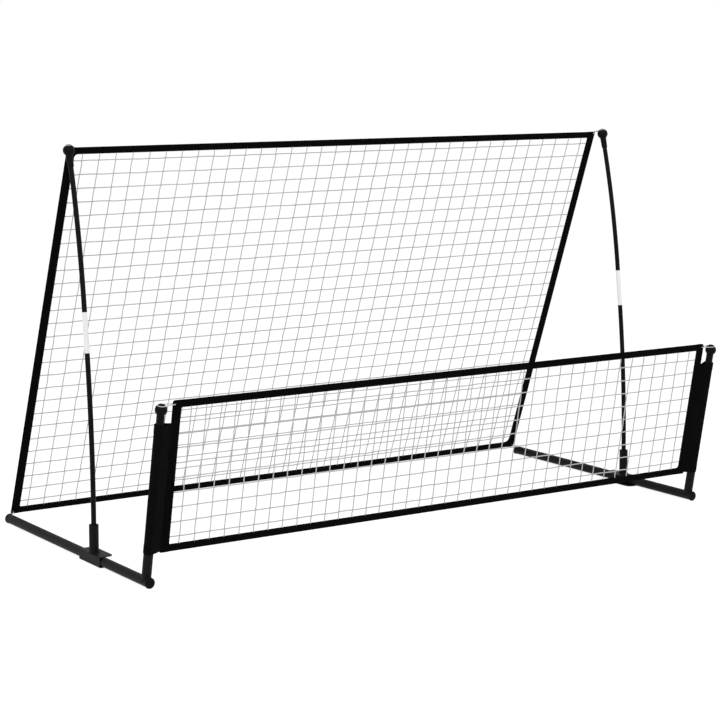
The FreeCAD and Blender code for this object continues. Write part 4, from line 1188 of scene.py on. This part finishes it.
class REBOUNDER_OT_netting(bpy.types.Operator):
    """Make the twines and knots of both nets"""
    bl_idname = "rebounder.netting"
    bl_label = "Netting"

    def execute(self, context):
        for net in NETS:
            make_netting(net)
        return {"FINISHED"}


class REBOUNDER_OT_bands(bpy.types.Operator):
    """Make the folded edge bands of both nets, with their stitches and cord holes' rims"""
    bl_idname = "rebounder.bands"
    bl_label = "Edge bands"

    def execute(self, context):
        for net in NETS:
            make_bands(net)
            make_stitches(net)
            make_eyelets(net)
        return {"FINISHED"}


class REBOUNDER_OT_sleeves(bpy.types.Operator):
    """Make the cloth sleeves of the two front posts"""
    bl_idname = "rebounder.sleeves"
    bl_label = "Sleeves"

    def execute(self, context):
        for side, sign in SIDES:
            make_sleeve(side, sign)
        return {"FINISHED"}


class REBOUNDER_OT_cords(bpy.types.Operator):
    """Make the elastic cords at the corners of both nets"""
    bl_idname = "rebounder.cords"
    bl_label = "Corner cords"

    def execute(self, context):
        for side, sign in SIDES:
            make_pole_cord(side, sign)
            make_post_cord(side, sign)
            make_tail_cord(side, sign)
        return {"FINISHED"}


class REBOUNDER_OT_welds(bpy.types.Operator):
    """Make the weld beads of the sockets and posts"""
    bl_idname = "rebounder.welds"
    bl_label = "Weld beads"

    def execute(self, context):
        for side, _ in SIDES:
            make_welds(side)
        return {"FINISHED"}


class REBOUNDER_OT_stage(bpy.types.Operator):
    """Set up the floor, world, lamps and camera"""
    bl_idname = "rebounder.stage"
    bl_label = "Stage"

    def execute(self, context):
        make_stage()
        return {"FINISHED"}


class REBOUNDER_PT_panel(bpy.types.Panel):
    """Sidebar panel with the settings and the makers"""
    bl_idname = "REBOUNDER_PT_panel"
    bl_label = "Rebounder"
    bl_space_type = "VIEW_3D"
    bl_region_type = "UI"
    bl_category = "Rebounder"

    def draw(self, context):
        for group in settings():
            box = self.layout.box()
            for name in group.bl_rna.properties.keys():
                if name not in ("rna_type", "name"):
                    box.prop(group, name)
        for maker in MAKERS:
            self.layout.operator(maker.bl_idname)


GROUPS = {"rebounder_net": NetSettings, "rebounder_sleeve": SleeveSettings,
          "rebounder_colour": ColourSettings, "rebounder_stage": StageSettings}
MAKERS = (REBOUNDER_OT_finishes, REBOUNDER_OT_stage, REBOUNDER_OT_netting, REBOUNDER_OT_bands,
          REBOUNDER_OT_sleeves, REBOUNDER_OT_cords, REBOUNDER_OT_welds)


def register():
    """Register all classes and hang the settings on the scene."""
    for kind in (*GROUPS.values(), *MAKERS, REBOUNDER_PT_panel):
        bpy.utils.register_class(kind)
    for name, group in GROUPS.items():
        setattr(bpy.types.Scene, name, bpy.props.PointerProperty(type=group))


def unregister():
    """Take the settings and all classes away again."""
    for name in GROUPS:
        delattr(bpy.types.Scene, name)
    for kind in (REBOUNDER_PT_panel, *reversed(MAKERS), *reversed(GROUPS.values())):
        bpy.utils.unregister_class(kind)


def main():
    """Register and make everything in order."""
    register()
    bpy.ops.rebounder.stage()
    bpy.ops.rebounder.finishes()
    bpy.ops.rebounder.netting()
    bpy.ops.rebounder.bands()
    bpy.ops.rebounder.sleeves()
    bpy.ops.rebounder.cords()
    bpy.ops.rebounder.welds()


if __name__ == "__main__":
    main()
